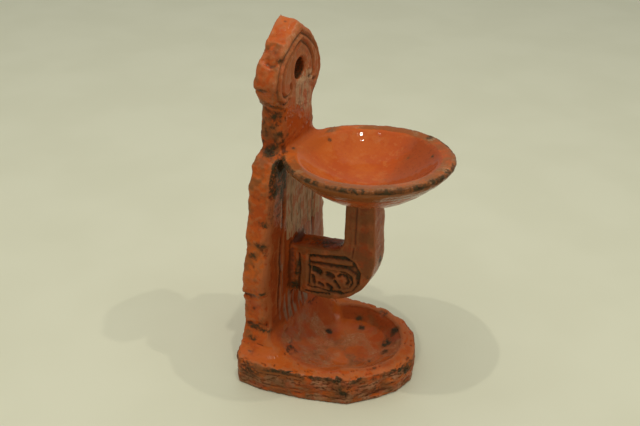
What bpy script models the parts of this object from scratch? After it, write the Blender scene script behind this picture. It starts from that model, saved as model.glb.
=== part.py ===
"""An antique oil lamp of red earthenware under an amber glaze, made and fired as one piece.

A thick upright slab with a pierced cloud-shaped head stands at the back of a low tray. A square arm comes out
of the slab, turns up into a post and carries a shallow open dish for the oil. Metres, +Z up, the front towards
-Y. The origin is on the flat underside, on the slab's centre line.
"""

import math

import bmesh
import bpy
from mathutils import Vector

# The upright slab, measured from its front face backwards and from the ground up.
SLAB_FRONT_Y = 0.0360
SLAB_FOOT_THICKNESS = 0.0158
SLAB_HEAD_THICKNESS = 0.0128
SLAB_HEIGHT = 0.2085
SLAB_FOOT_Z = 0.0030
SLAB_FRONT_ROUNDING = 0.0032
SLAB_BACK_ROUNDING = 0.0014

# Half the slab's width at the heights where its outline turns.
WAIST_Z, WAIST_HALF = 0.0300, 0.0366
BELLY_Z, BELLY_HALF = 0.0680, 0.0386
CHEST_Z, CHEST_HALF = 0.1000, 0.0340
SHOULDER_Z, SHOULDER_HALF = 0.1320, 0.0296
NECK_LOW_Z, NECK_HIGH_Z, NECK_HALF = 0.1430, 0.1600, 0.0184
LOBE_Z, LOBE_HALF = 0.1700, 0.0240
HEAD_Z, HEAD_HALF = 0.1770, 0.0262
HEAD_ARCH_POWER = 2.0

# The finger-pressed waves along the slab's two edges.
EDGE_WAVE_DEPTH = 0.0009
EDGE_WAVE_LENGTH = 0.0290
EDGE_WAVE_PHASES = {-1: 0.6, 1: 2.3}
OUTLINE_STEP = 0.0036
FRONT_ROUNDING_DEGREES = (90, 55, 25, 0)

# The hanging hole through the head.
HOLE_Z = 0.1808
HOLE_RADIUS = 0.0058
HOLE_SIDES = 24
CUT_PAST = 0.0040

# Carved lines: the cutter's half width and depth, and the lines' places on the head and the body.
LINE_HALF_WIDTH = 0.0010
LINE_DEPTH = 0.0013
HEAD_LINE_POINTS, CURL_POINTS, BORDER_LINE_POINTS = 9, 7, 6
OUTER_LINE_TOP_Z, OUTER_LINE_HALF = 0.2000, 0.0213
INNER_LINE_TOP_Z, INNER_LINE_HALF = 0.1955, 0.0168
OUTER_CURL_Z, OUTER_CURL_RADIUS, OUTER_CURL_DEGREES = 0.1732, 0.0060, 118
INNER_CURL_Z, INNER_CURL_RADIUS, INNER_CURL_DEGREES = 0.1735, 0.0040, 176
BORDER_LINE_TOP_Z, BORDER_LINE_TOP_HALF = 0.1160, 0.0172
BORDER_LINE_LOW_Z, BORDER_LINE_LOW_HALF = 0.0340, 0.0226

# The tray at the foot. Its rim is lower on the right, and its knife-cut outline is wider on the left.
TRAY_RIM_LEFT_Z = 0.0184
TRAY_RIM_RIGHT_Z = 0.0168
TRAY_BACK_Y = 0.0513
TRAY_UNDERCUT = 0.0012
TRAY_UNDERCUT_Z = 0.0032
TRAY_EDGE_ROUNDING = 0.0016
TRAY_POINT_GAP = 0.0048
TRAY_CORNERS = (
    (-0.0452, TRAY_BACK_Y), (-0.0498, 0.0472), (-0.0506, 0.0330), (-0.0460, 0.0080), (-0.0380, -0.0174),
    (-0.0250, -0.0304), (-0.0130, -0.0390), (0.0000, -0.0427), (0.0125, -0.0396), (0.0245, -0.0342),
    (0.0335, -0.0240), (0.0395, -0.0090), (0.0408, 0.0090), (0.0392, 0.0230), (0.0390, TRAY_BACK_Y),
)

# The round drip recess in the tray, and the clay ramped up from it to the slab.
RECESS_CENTRE = (0.0025, 0.0000)
RECESS_RADIUS = 0.0318
RECESS_FLOOR_Z = 0.0072
RECESS_ROUNDNESS = 3.0
RECESS_RINGS = (0.15, 0.40, 0.62, 0.80, 0.92, 1.0)
TRAY_TOP_RINGS = (0.22, 0.45, 0.70, 1.0)
# The clay drawn up to the slab fills the recess at the back and left: from which share of its radius, at each
# bearing from its centre in degrees, and how far it would rise outwards from there over one radius.
FILL_STARTS = (
    (36.0, 1.07), (44.0, 0.85), (90.0, 0.61), (106.0, 0.65), (139.0, 0.65), (180.0, 0.79), (206.0, 1.07),
)
FILL_RISE = 0.011448
RAMP_RISE = 0.0170
RAMP_REACH_Y = 0.0190
RAMP_REACH_X = 0.0115

# The arm: a bar out of the slab that turns up into a post.
ARM_WIDTH = 0.0156
ARM_EDGE_ROUNDING = 0.0022
BAR_UNDERSIDE_Z = 0.0438
BAR_TOP_Z = 0.0745
BAR_TOP_RISE = 0.0060
POST_FRONT_Y = -0.0138
POST_DEPTH = 0.0165
ELBOW_START_Y = 0.0180
ELBOW_TOP_Z = 0.0800
ELBOW_SWELL = 0.0028
CROOK_RADIUS = 0.0085
ROOT_IN_SLAB = 0.0050
ELBOW_POINTS, CROOK_POINTS = 10, 5

# The carved frame and curling scroll on both sides of the bar.
FRAME_INSET = 0.0038
FRAME_FRONT_GAP = 0.0066
FRAME_BACK_GAP = 0.0062
FRAME_TOP_INSET = 0.0034
FRAME_BEND_DEGREES = (265, 195)
FRAME_BEND_POINTS = 7
SCROLL_CENTRE = (0.0035, 0.0625)
SCROLL_RADIUS = 0.0078
SCROLL_TURNS = 1.35
SCROLL_STEPS = 16
SCROLL_START_DEGREES = -70.0
SCROLL_INNER_SHARE = 0.28
SCROLL_TAIL = 0.0110
SCROLL_TAIL_RISE = 0.0070

# The oil dish: a thrown bowl, slightly oval and tipped up a little at the front.
DISH_CENTRE_Y = -0.0056
DISH_RIM_Z = 0.1408
DISH_RADIUS = 0.0453
DISH_OVAL = 1.03
DISH_TIP_DEGREES = 2.2
DISH_HEIGHT = 0.0236
DISH_FOOT_RADIUS = 0.0215
DISH_LIP = 0.0032
DISH_FLANK_BULGE = 0.92
DISH_RIM_WIDTH = 0.0085
DISH_BOWL_DEPTH = 0.0150
DISH_BOWL_ROUNDNESS = 2.6
DISH_BOWL_SHARES = (0.90, 0.75, 0.55, 0.30, 0.08)
DISH_RIM_DROP = 0.0010
DISH_LIP_SWELL = 0.0003
DISH_LIP_EASE = 0.0012
DISH_FOOT_EASE = 0.0006
DISH_FLANK_POINTS = 5
DISH_FLANK_RISE = 1.18
DISH_SIDES = 56
POST_IN_DISH = 0.0045

GLAZE_COLOUR = (0.46, 0.10, 0.03, 1.0)
GLAZE_ROUGHNESS = 0.25
SMOOTH_BELOW_DEGREES = 40.0

POST_BACK_Y = POST_FRONT_Y + POST_DEPTH
DISH_FOOT_Z = DISH_RIM_Z - DISH_HEIGHT


def ease(t):
    """A smooth step from 0 to 1."""
    t = min(max(t, 0.0), 1.0)
    return t * t * (3.0 - 2.0 * t)


def loft(name, rings, closed=False):
    """An object skinned over rings of equal length; an open loft is capped flat at both ends."""
    bm = bmesh.new()
    loops = [[bm.verts.new(point) for point in ring] for ring in rings]
    pairs = list(zip(loops, loops[1:]))
    if closed:
        pairs.append((loops[-1], loops[0]))
    else:
        bm.faces.new(loops[0])
        bm.faces.new(loops[-1])
    for first, second in pairs:
        count = len(first)
        for i in range(count):
            j = (i + 1) % count
            bm.faces.new((first[i], first[j], second[j], second[i]))
    bmesh.ops.recalc_face_normals(bm, faces=bm.faces)
    mesh = bpy.data.meshes.new(name)
    bm.to_mesh(mesh)
    bm.free()
    made = bpy.data.objects.new(name, mesh)
    bpy.context.scene.collection.objects.link(made)
    return made


def combine(target, other, operation):
    """Adds a piece of clay to the target, or cuts it away; the other shape is kept only as a guide."""
    other.hide_render = True
    other.display_type = "WIRE"
    step = target.modifiers.new(other.name, "BOOLEAN")
    step.operation = operation
    step.solver = "EXACT"
    step.object = other


def slab_half_width(z):
    """Half the slab's width at a height, without the waves of its edges."""
    if z >= HEAD_Z:
        share = (z - HEAD_Z) / (SLAB_HEIGHT - HEAD_Z)
        return HEAD_HALF * (1.0 - share ** HEAD_ARCH_POWER)
    stations = (
        (0.0, WAIST_HALF), (WAIST_Z, WAIST_HALF), (BELLY_Z, BELLY_HALF), (CHEST_Z, CHEST_HALF),
        (SHOULDER_Z, SHOULDER_HALF), (NECK_LOW_Z, NECK_HALF), (NECK_HIGH_Z, NECK_HALF),
        (LOBE_Z, LOBE_HALF), (HEAD_Z, HEAD_HALF),
    )
    for (low, low_half), (high, high_half) in zip(stations, stations[1:]):
        if z <= high:
            return low_half + (high_half - low_half) * ease((z - low) / (high - low))
    return HEAD_HALF


def slab_back_y(z):
    """The slab's flat back, which leans forward a little because the slab thins towards its head."""
    share = z / SLAB_HEIGHT
    return SLAB_FRONT_Y + SLAB_FOOT_THICKNESS + (SLAB_HEAD_THICKNESS - SLAB_FOOT_THICKNESS) * share


def slab_side(side):
    """The points of one edge of the slab, from the foot up to just under the peak."""
    count = round((SLAB_HEIGHT - SLAB_FOOT_Z) / OUTLINE_STEP)
    points = []
    for i in range(count):
        z = SLAB_FOOT_Z + (SLAB_HEIGHT - SLAB_FOOT_Z) * i / count
        fade = ease((SLAB_HEIGHT - z) / EDGE_WAVE_LENGTH)
        wave = math.sin(2.0 * math.pi * z / EDGE_WAVE_LENGTH + EDGE_WAVE_PHASES[side])
        points.append((side * (slab_half_width(z) + EDGE_WAVE_DEPTH * fade * wave), z))
    return points


def inset_outline(points, distance):
    """A closed outline moved inwards by a distance, with mitred corners."""
    moved = []
    count = len(points)
    for i, point in enumerate(points):
        here = Vector(point)
        before = (here - Vector(points[i - 1])).normalized()
        after = (Vector(points[(i + 1) % count]) - here).normalized()
        normals = Vector((-before.y - after.y, before.x + after.x))
        moved.append(here + distance * normals / (1.0 + before.dot(after)))
    return moved


def make_slab():
    """The upright slab, its edges rounded at the front and eased at the back."""
    right = slab_side(1)
    left = slab_side(-1)
    outline = right + [(0.0, SLAB_HEIGHT)] + left[::-1]
    rings = []
    for degrees in FRONT_ROUNDING_DEGREES:
        a = math.radians(degrees)
        inset = SLAB_FRONT_ROUNDING * (1.0 - math.cos(a))
        y = SLAB_FRONT_Y + SLAB_FRONT_ROUNDING * (1.0 - math.sin(a))
        rings.append([Vector((p.x, y, p.y)) for p in inset_outline(outline, inset)])
    for inset in (0.0, SLAB_BACK_ROUNDING):
        forward = SLAB_BACK_ROUNDING - inset
        rings.append([Vector((p.x, slab_back_y(p.y) - forward, p.y)) for p in inset_outline(outline, inset)])
    return loft("slab", rings)


def tray_rim_z(x):
    """The height of the tray's rim, which falls from left to right."""
    left = min(corner[0] for corner in TRAY_CORNERS)
    right = max(corner[0] for corner in TRAY_CORNERS)
    return TRAY_RIM_LEFT_Z + (TRAY_RIM_RIGHT_Z - TRAY_RIM_LEFT_Z) * (x - left) / (right - left)


def ramp_lift(x, y):
    """How far the clay rises where it is drawn up to the slab's foot."""
    away_x = max(abs(x) - WAIST_HALF, 0.0) / RAMP_REACH_X
    away_y = max(SLAB_FRONT_Y - y, 0.0) / RAMP_REACH_Y
    near = 1.0 - min(math.hypot(away_x, away_y), 1.0)
    return RAMP_RISE * (1.0 - math.sqrt(1.0 - near * near))


def fill_start_share(bearing):
    """The share of the recess's radius where the fill begins at a bearing in degrees."""
    if bearing <= FILL_STARTS[0][0] or bearing >= FILL_STARTS[-1][0]:
        return FILL_STARTS[0][1]
    for (low, low_share), (high, high_share) in zip(FILL_STARTS, FILL_STARTS[1:]):
        if bearing <= high:
            return low_share + (high_share - low_share) * (bearing - low) / (high - low)
    return FILL_STARTS[-1][1]


def tray_top_z(x, y):
    """The tray's upper surface: the rim, the recess with its fill, and the clay drawn up to the slab."""
    away = Vector((x, y)) - Vector(RECESS_CENTRE)
    rim = tray_rim_z(x)
    start = fill_start_share(math.degrees(math.atan2(away.y, away.x)) % 360.0)

    def bowl_z(share):
        return RECESS_FLOOR_Z + (rim - RECESS_FLOOR_Z) * min(share, 1.0) ** RECESS_ROUNDNESS

    share = away.length / RECESS_RADIUS
    level = bowl_z(share)
    if share > start:
        level = min(level, bowl_z(start) + FILL_RISE * (share - start))
    return level + ramp_lift(x, y)


def tray_outline():
    """The tray's knife-cut outline as points a short gap apart, every corner among them."""
    points = []
    for i, corner in enumerate(TRAY_CORNERS):
        start = Vector(TRAY_CORNERS[i - 1])
        side = Vector(corner) - start
        count = max(1, round(side.length / TRAY_POINT_GAP))
        points += [start + side * j / count for j in range(count)]
    return points


def make_tray():
    """The tray with its bowl-shaped recess, one ring of points after another from the recess floor outwards."""
    outline = tray_outline()
    centre = Vector(RECESS_CENTRE)

    def ring_at(share_of_recess, share_of_rim, edge_gap=0.0):
        ring = []
        for corner in outline:
            away = corner - centre
            recess = RECESS_RADIUS * share_of_recess
            rim = (away.length - edge_gap - RECESS_RADIUS) * share_of_rim
            spot = centre + away.normalized() * (recess + rim)
            ring.append(Vector((spot.x, spot.y, 0.0)))
        return ring

    rings = []
    for ring in (
        [ring_at(share, 0.0) for share in RECESS_RINGS]
        + [ring_at(1.0, share, TRAY_EDGE_ROUNDING) for share in TRAY_TOP_RINGS]
    ):
        for point in ring:
            point.z = tray_top_z(point.x, point.y)
        rings.append(ring)
    edge = ring_at(1.0, 1.0)
    for point, above in zip(edge, rings[-1]):
        point.z = above.z - TRAY_EDGE_ROUNDING
    rings.append(edge)
    low = ring_at(1.0, 1.0)
    for point in low:
        point.z = TRAY_UNDERCUT_Z
    rings.append(low)
    rings.append(ring_at(1.0, 1.0, TRAY_UNDERCUT))
    return loft("tray", rings)


def arc(centre, radii, start_degrees, end_degrees, count):
    """Points of an elliptic arc, both ends included."""
    points = []
    for i in range(count + 1):
        a = math.radians(start_degrees + (end_degrees - start_degrees) * i / count)
        points.append((centre[0] + radii[0] * math.cos(a), centre[1] + radii[1] * math.sin(a)))
    return points


def bar_top_z(y):
    """The top of the bar, which rises a little from the slab towards the post."""
    return BAR_TOP_Z + BAR_TOP_RISE * (SLAB_FRONT_Y - y) / (SLAB_FRONT_Y - POST_BACK_Y)


def arm_outline():
    """The arm's side view as (y, z), from its root under the bar, round the elbow, up the post and back."""
    root_y = SLAB_FRONT_Y + ROOT_IN_SLAB
    top_z = DISH_FOOT_Z + POST_IN_DISH
    elbow_front_y = POST_FRONT_Y - ELBOW_SWELL
    elbow = arc(
        (ELBOW_START_Y, ELBOW_TOP_Z),
        (ELBOW_START_Y - elbow_front_y, ELBOW_TOP_Z - BAR_UNDERSIDE_Z),
        270, 180, ELBOW_POINTS,
    )
    crook_y = POST_BACK_Y + CROOK_RADIUS
    crook_z = bar_top_z(crook_y) + CROOK_RADIUS
    crook = arc((crook_y, crook_z), (CROOK_RADIUS, CROOK_RADIUS), 180, 270, CROOK_POINTS)
    return (
        [(root_y, BAR_UNDERSIDE_Z)] + elbow
        + [(POST_FRONT_Y, top_z), (POST_BACK_Y, top_z)]
        + crook + [(root_y, bar_top_z(root_y))]
    )


def make_arm():
    """The arm, a side outline drawn out across its width, with eased long edges."""
    outline = arm_outline()[::-1]
    half = ARM_WIDTH / 2.0
    rings = []
    for x, inset in (
        (-half, ARM_EDGE_ROUNDING), (-half + ARM_EDGE_ROUNDING, 0.0),
        (half - ARM_EDGE_ROUNDING, 0.0), (half, ARM_EDGE_ROUNDING),
    ):
        rings.append([Vector((x, p.x, p.y)) for p in inset_outline(outline, inset)])
    return loft("arm", rings)


def dish_profile():
    """The dish's wall as (radius, height from the rim), from under its foot round to the middle of its bowl."""
    outer_run = DISH_RADIUS - DISH_FOOT_RADIUS
    outer = [(DISH_FOOT_RADIUS / 2.0, -DISH_HEIGHT), (DISH_FOOT_RADIUS, -DISH_HEIGHT + DISH_FOOT_EASE)]
    for i in range(1, DISH_FLANK_POINTS):
        t = i / DISH_FLANK_POINTS
        outer.append((
            DISH_FOOT_RADIUS + outer_run * t ** DISH_FLANK_BULGE,
            -DISH_HEIGHT + (DISH_HEIGHT - DISH_LIP) * t ** DISH_FLANK_RISE,
        ))
    lip = [
        (DISH_RADIUS, -DISH_LIP), (DISH_RADIUS + DISH_LIP_SWELL, -DISH_LIP / 2.0),
        (DISH_RADIUS - DISH_LIP_EASE, 0.0),
    ]
    bowl_radius = DISH_RADIUS - DISH_RIM_WIDTH
    bowl_rise = DISH_BOWL_DEPTH - DISH_RIM_DROP
    inner = [(bowl_radius, -DISH_RIM_DROP)]
    for share in DISH_BOWL_SHARES:
        inner.append((bowl_radius * share, -DISH_BOWL_DEPTH + bowl_rise * share ** DISH_BOWL_ROUNDNESS))
    return outer + lip + inner


def make_dish():
    """The dish turned round its middle, slightly oval and tipped."""
    tip = math.radians(DISH_TIP_DEGREES)
    rings = []
    for radius, drop in dish_profile():
        ring = []
        for i in range(DISH_SIDES):
            a = 2.0 * math.pi * i / DISH_SIDES
            x = radius * math.cos(a)
            y = radius * DISH_OVAL * math.sin(a)
            ring.append(Vector((
                x,
                DISH_CENTRE_Y + y * math.cos(tip) + drop * math.sin(tip),
                DISH_RIM_Z + drop * math.cos(tip) - y * math.sin(tip),
            )))
        rings.append(ring)
    return loft("dish", rings)


def make_hole():
    """The round hanging hole, through the head from front to back."""
    last_degrees = 360.0 - 360.0 / HOLE_SIDES
    circle = arc((0.0, HOLE_Z), (HOLE_RADIUS, HOLE_RADIUS), 0, last_degrees, HOLE_SIDES - 1)
    rings = []
    for y in (SLAB_FRONT_Y - CUT_PAST, slab_back_y(HOLE_Z) + CUT_PAST):
        rings.append([Vector((x, y, z)) for x, z in circle])
    return loft("hanging_hole", rings)


def line_cutter(name, path, place, closed=False):
    """A cutter with a pointed underside that runs along a flat path and carves a V-shaped line.

    place(u, v, out) turns the path's own (u, v), and the distance out of the face, into a point.
    """
    rings = []
    count = len(path)
    for i, point in enumerate(path):
        before = Vector(path[i - 1] if closed or i else path[0])
        after = Vector(path[(i + 1) % count] if closed or i + 1 < count else path[-1])
        along = (after - before).normalized()
        across = Vector((-along.y, along.x))
        ring = []
        for side, out in ((-1.0, LINE_DEPTH), (1.0, LINE_DEPTH), (1.0, 0.0), (0.0, -LINE_DEPTH), (-1.0, 0.0)):
            spot = Vector(point) + across * side * LINE_HALF_WIDTH
            ring.append(place(spot.x, spot.y, out))
        rings.append(ring)
    return loft(name, rings, closed)


def on_front(u, v, out):
    """A place on the slab's front face."""
    return Vector((u, SLAB_FRONT_Y - out, v))


def head_line(top_z, half, curl_z, curl_radius, curl_degrees):
    """The right half of a carved line on the head, from its pointed top down to the end of its curl."""
    points = []
    for i in range(HEAD_LINE_POINTS):
        share = 1.0 - i / HEAD_LINE_POINTS
        points.append((half * (1.0 - share ** HEAD_ARCH_POWER), curl_z + (top_z - curl_z) * share))
    curl = arc((half - curl_radius, curl_z), (curl_radius, curl_radius), 0, -curl_degrees, CURL_POINTS)
    return points + curl


def make_head_lines():
    """The double line that follows the head's outline and curls in at its two lobes."""
    made = []
    for name, right in (
        ("outer_line", head_line(
            OUTER_LINE_TOP_Z, OUTER_LINE_HALF, OUTER_CURL_Z, OUTER_CURL_RADIUS, OUTER_CURL_DEGREES)),
        ("inner_line", head_line(
            INNER_LINE_TOP_Z, INNER_LINE_HALF, INNER_CURL_Z, INNER_CURL_RADIUS, INNER_CURL_DEGREES)),
    ):
        left = [(-x, z) for x, z in right[:0:-1]]
        made.append(line_cutter(name, left + right, on_front))
    return made


def make_border_lines():
    """The two long lines that part the slab's rounded borders from its middle."""
    made = []
    for side, name in ((-1, "left_border_line"), (1, "right_border_line")):
        path = []
        for i in range(BORDER_LINE_POINTS + 1):
            t = i / BORDER_LINE_POINTS
            half = BORDER_LINE_TOP_HALF + (BORDER_LINE_LOW_HALF - BORDER_LINE_TOP_HALF) * ease(t)
            path.append((side * half, BORDER_LINE_TOP_Z + (BORDER_LINE_LOW_Z - BORDER_LINE_TOP_Z) * t))
        made.append(line_cutter(name, path, on_front))
    return made


def bar_frame():
    """The carved frame on the bar's side as a closed (y, z) path, set in from the bar's edges."""
    back_y = SLAB_FRONT_Y - FRAME_BACK_GAP
    low_z = BAR_UNDERSIDE_Z + FRAME_INSET
    elbow_radii = (
        ELBOW_START_Y - POST_FRONT_Y - FRAME_FRONT_GAP,
        ELBOW_TOP_Z - BAR_UNDERSIDE_Z - FRAME_INSET,
    )
    elbow = arc((ELBOW_START_Y, ELBOW_TOP_Z), elbow_radii, *FRAME_BEND_DEGREES, FRAME_BEND_POINTS)
    front_top = elbow[-1][0] + FRAME_INSET
    top = [(y, bar_top_z(y) - FRAME_TOP_INSET) for y in (front_top, back_y)]
    return [(back_y, low_z)] + elbow + top


def bar_scroll():
    """The curling scroll inside the frame: a spiral, and a tail that runs back towards the slab."""
    points = []
    for i in range(SCROLL_STEPS + 1):
        t = i / SCROLL_STEPS
        a = math.radians(SCROLL_START_DEGREES) + 2.0 * math.pi * SCROLL_TURNS * t
        radius = SCROLL_RADIUS * (1.0 - (1.0 - SCROLL_INNER_SHARE) * t)
        points.append((SCROLL_CENTRE[0] - radius * math.cos(a), SCROLL_CENTRE[1] + radius * math.sin(a)))
    start = points[0]
    tail = [(start[0] + SCROLL_TAIL, start[1] + SCROLL_TAIL_RISE), (start[0] + SCROLL_TAIL / 2.0, start[1])]
    return tail + points


def make_arm_lines():
    """The same frame and scroll on each side of the bar."""
    made = []
    for side, word in ((-1, "left"), (1, "right")):

        def on_side(u, v, out, side=side):
            return Vector((side * (ARM_WIDTH / 2.0 + out), u, v))

        made.append(line_cutter(word + "_frame_line", bar_frame(), on_side, closed=True))
        made.append(line_cutter(word + "_scroll_line", bar_scroll(), on_side))
    return made


def glaze():
    """The amber lead glaze over red clay."""
    material = bpy.data.materials.new("amber_glaze")
    material.use_nodes = True
    shader = material.node_tree.nodes["Principled BSDF"]
    shader.inputs["Base Color"].default_value = GLAZE_COLOUR
    shader.inputs["Roughness"].default_value = GLAZE_ROUGHNESS
    shader.inputs["Metallic"].default_value = 0.0
    material.diffuse_color = GLAZE_COLOUR
    return material


for old in list(bpy.data.objects):
    bpy.data.objects.remove(old)

lamp = make_tray()
lamp.name = "lamp"
for clay in (make_slab(), make_arm(), make_dish()):
    combine(lamp, clay, "UNION")
for cut in [make_hole()] + make_head_lines() + make_border_lines() + make_arm_lines():
    combine(lamp, cut, "DIFFERENCE")
lamp.data.materials.append(glaze())
lamp.data.shade_smooth()
lamp.data.set_sharp_from_angle(angle=math.radians(SMOOTH_BELOW_DEGREES))
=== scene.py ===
"""An antique oil lamp of red earthenware under an amber lead glaze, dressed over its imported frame.

Metres, +Z up, the lamp's front towards -Y. The sections follow the potter's order: the slab, the tray, the
arm and the dish are shaped, luted into one, marked by hand, carved, glazed and worn.
"""

import math

import bmesh
import bpy
import numpy as np
from mathutils import Matrix, Vector, noise


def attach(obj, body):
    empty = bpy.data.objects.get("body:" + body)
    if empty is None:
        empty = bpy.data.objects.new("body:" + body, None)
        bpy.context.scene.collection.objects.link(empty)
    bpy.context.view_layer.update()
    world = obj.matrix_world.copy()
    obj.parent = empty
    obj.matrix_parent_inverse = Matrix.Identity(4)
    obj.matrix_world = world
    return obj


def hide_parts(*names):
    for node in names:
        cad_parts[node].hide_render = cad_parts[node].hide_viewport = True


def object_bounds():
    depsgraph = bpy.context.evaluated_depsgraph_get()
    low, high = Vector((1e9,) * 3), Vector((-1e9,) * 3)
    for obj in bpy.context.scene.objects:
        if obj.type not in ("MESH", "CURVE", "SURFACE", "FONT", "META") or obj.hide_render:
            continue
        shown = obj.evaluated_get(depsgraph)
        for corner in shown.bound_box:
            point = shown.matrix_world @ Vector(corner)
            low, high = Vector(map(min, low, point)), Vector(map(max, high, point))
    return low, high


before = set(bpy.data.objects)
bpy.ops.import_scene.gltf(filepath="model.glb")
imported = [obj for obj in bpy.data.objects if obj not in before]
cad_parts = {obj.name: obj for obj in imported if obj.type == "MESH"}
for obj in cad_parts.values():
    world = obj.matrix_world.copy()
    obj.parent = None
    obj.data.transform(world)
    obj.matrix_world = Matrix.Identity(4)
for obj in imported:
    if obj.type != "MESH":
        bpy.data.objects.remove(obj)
cad_low, cad_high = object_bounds()

# The upright slab. A slice of wedged red clay about 15 mm thick, cut with a knife to a pointed, cloud-shaped
# outline. Its long edges were pressed into shallow waves with the fingers, and a stick was pushed through its
# head for hanging.
mm = 0.001
slab_front_y = 36.0 * mm
slab_foot_thickness = 15.8 * mm
slab_head_thickness = 12.8 * mm
slab_foot_z = 3.0 * mm
slab_level_gap = 3.6 * mm
slab_front_rounding = 3.4 * mm
slab_back_rounding = 1.8 * mm
head_z = 177.0 * mm
head_half = 26.2 * mm
peak_slant, slant_from_z = 2.6 * mm, 184.0 * mm
# Half the slab's width at each height where the knife turned.
slab_turns = (
    (0.0, 36.6 * mm), (30.0 * mm, 36.6 * mm), (68.0 * mm, 38.6 * mm), (100.0 * mm, 34.0 * mm),
    (132.0 * mm, 29.6 * mm), (143.0 * mm, 18.4 * mm), (160.0 * mm, 18.4 * mm), (170.0 * mm, 24.0 * mm),
    (head_z, head_half),
)
wave_length = 29.0 * mm
wave_depth = 0.9 * mm
wave_starts = {-1: 0.6, 1: 2.3}
hole_z = 180.8 * mm
hole_front_radius = 5.9 * mm
hole_back_radius = 5.2 * mm
hole_sides = 48
level_grip = 0.1 * mm
front_limit_y = slab_front_y + 1.0 * mm


def ease(t):
    """A smooth step from 0 to 1, for a number or an array."""
    t = np.clip(t, 0.0, 1.0)
    return t * t * (3.0 - 2.0 * t)


def apply_modifier(kind, **settings):
    """Adds a modifier to the active object with its settings and applies it."""
    step = bpy.context.object.modifiers.new(kind.title(), kind)
    for name, value in settings.items():
        setattr(step, name, value)
    bpy.ops.object.modifier_apply(modifier=step.name)


def let_go():
    """Leaves no object selected."""
    bpy.ops.object.select_all(action="DESELECT")


def take_all():
    """Selects the whole mesh that is open for editing."""
    bpy.ops.mesh.select_all(action="SELECT")


def open_as(name):
    """Names the active object and opens it for editing by its vertices."""
    bpy.context.object.name = name
    bpy.ops.object.mode_set(mode="EDIT")
    bpy.ops.mesh.select_mode(type="VERT")
    return bpy.context.object


def select_where(test):
    """Selects the vertices that pass a test of their place, in edit mode."""
    mesh = bpy.context.object.data
    bm = bmesh.from_edit_mesh(mesh)
    for vertex in bm.verts:
        vertex.select = test(vertex.co)
    bm.select_flush_mode()
    bmesh.update_edit_mesh(mesh)


def add_block(name, low, high):
    """Adds a block between two corners as the active object and opens it for editing."""
    let_go()
    low, high = Vector(low), Vector(high)
    bpy.ops.mesh.primitive_cube_add(size=1.0, location=(low + high) / 2.0, scale=high - low)
    bpy.ops.object.transform_apply(location=True, rotation=True, scale=True)
    return open_as(name)


def half_width(z):
    """Half the slab's width at a height."""
    if z >= head_z:
        return head_half * (1.0 - ((z - head_z) / (cad_high.z - head_z)) ** 2)
    for (low, low_half), (high, high_half) in zip(slab_turns, slab_turns[1:]):
        if z <= high:
            return low_half + (high_half - low_half) * float(ease((z - low) / (high - low)))
    return head_half


def slab_back(z):
    """Where the slab's back is at a height; the slab thins towards its head."""
    return slab_front_y + slab_foot_thickness + (slab_head_thickness - slab_foot_thickness) * z / cad_high.z


slab = add_block(
    "slab",
    (-head_half, slab_front_y, slab_foot_z),
    (head_half, slab_front_y + slab_foot_thickness, cad_high.z),
)
level_count = round((cad_high.z - slab_foot_z) / slab_level_gap)
levels = [slab_foot_z + (cad_high.z - slab_foot_z) * i / level_count for i in range(level_count + 1)]
for level in levels[1:-1]:
    take_all()
    bpy.ops.mesh.bisect(plane_co=(0.0, 0.0, level), plane_no=(0.0, 0.0, 1.0))
for level in levels:
    fade = float(ease((cad_high.z - level) / wave_length))
    for side in (-1, 1):
        wave = wave_depth * fade * math.sin(2.0 * math.pi * level / wave_length + wave_starts[side])
        select_where(lambda co: abs(co.z - level) < level_grip and co.x * side > 0.0)
        bpy.ops.transform.translate(value=(side * (half_width(level) + wave - head_half), 0.0, 0.0))
    select_where(lambda co: abs(co.z - level) < level_grip and co.y > front_limit_y)
    bpy.ops.transform.translate(value=(0.0, slab_back(level) - slab_front_y - slab_foot_thickness, 0.0))
    if level > slant_from_z:
        select_where(lambda co: abs(co.z - level) < level_grip and co.y < front_limit_y)
        slant = peak_slant * ((level - slant_from_z) / (cad_high.z - slant_from_z)) ** 1.5
        bpy.ops.transform.translate(value=(0.0, 0.0, -slant))
take_all()
bpy.ops.mesh.remove_doubles(threshold=0.05 * mm)
for is_front, rounding in ((True, slab_front_rounding), (False, slab_back_rounding)):
    sheet = bmesh.from_edit_mesh(slab.data)
    for edge in sheet.edges:
        flat = [abs(face.normal.y) > 0.9 for face in edge.link_faces]
        on_front = max(vertex.co.y for vertex in edge.verts) < front_limit_y
        edge.select = any(flat) and not all(flat) and on_front == is_front
    bmesh.update_edit_mesh(slab.data)
    bpy.ops.mesh.bevel(offset=rounding, segments=4 if is_front else 2, affect="EDGES")
    bpy.ops.mesh.select_all(action="DESELECT")
bpy.ops.object.mode_set(mode="OBJECT")

let_go()
bpy.ops.mesh.primitive_cone_add(
    vertices=hole_sides, radius1=hole_back_radius, radius2=hole_front_radius, depth=2.0 * slab_foot_thickness,
    location=(0.0, slab_front_y + slab_head_thickness / 2.0, hole_z), rotation=(math.pi / 2.0, 0.0, 0.0),
)
bpy.ops.object.transform_apply(location=True, rotation=True, scale=True)
stick = bpy.context.object
bpy.context.view_layer.objects.active = slab
apply_modifier("BOOLEAN", operation="DIFFERENCE", solver="EXACT", object=stick)
bpy.data.objects.remove(stick)

# The tray at the foot. A thick pad of the same clay, its edge sliced off with a knife in short straight cuts
# and left rough, a round drip recess pressed into its top, and more clay drawn up from it to the slab's foot.
rim_left_z = 18.4 * mm
rim_right_z = 16.8 * mm
tray_back_y = 51.3 * mm
tray_undercut = 2.3 * mm
tray_edge_rounding = 1.3 * mm
tray_grid = 2.0 * mm
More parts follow.
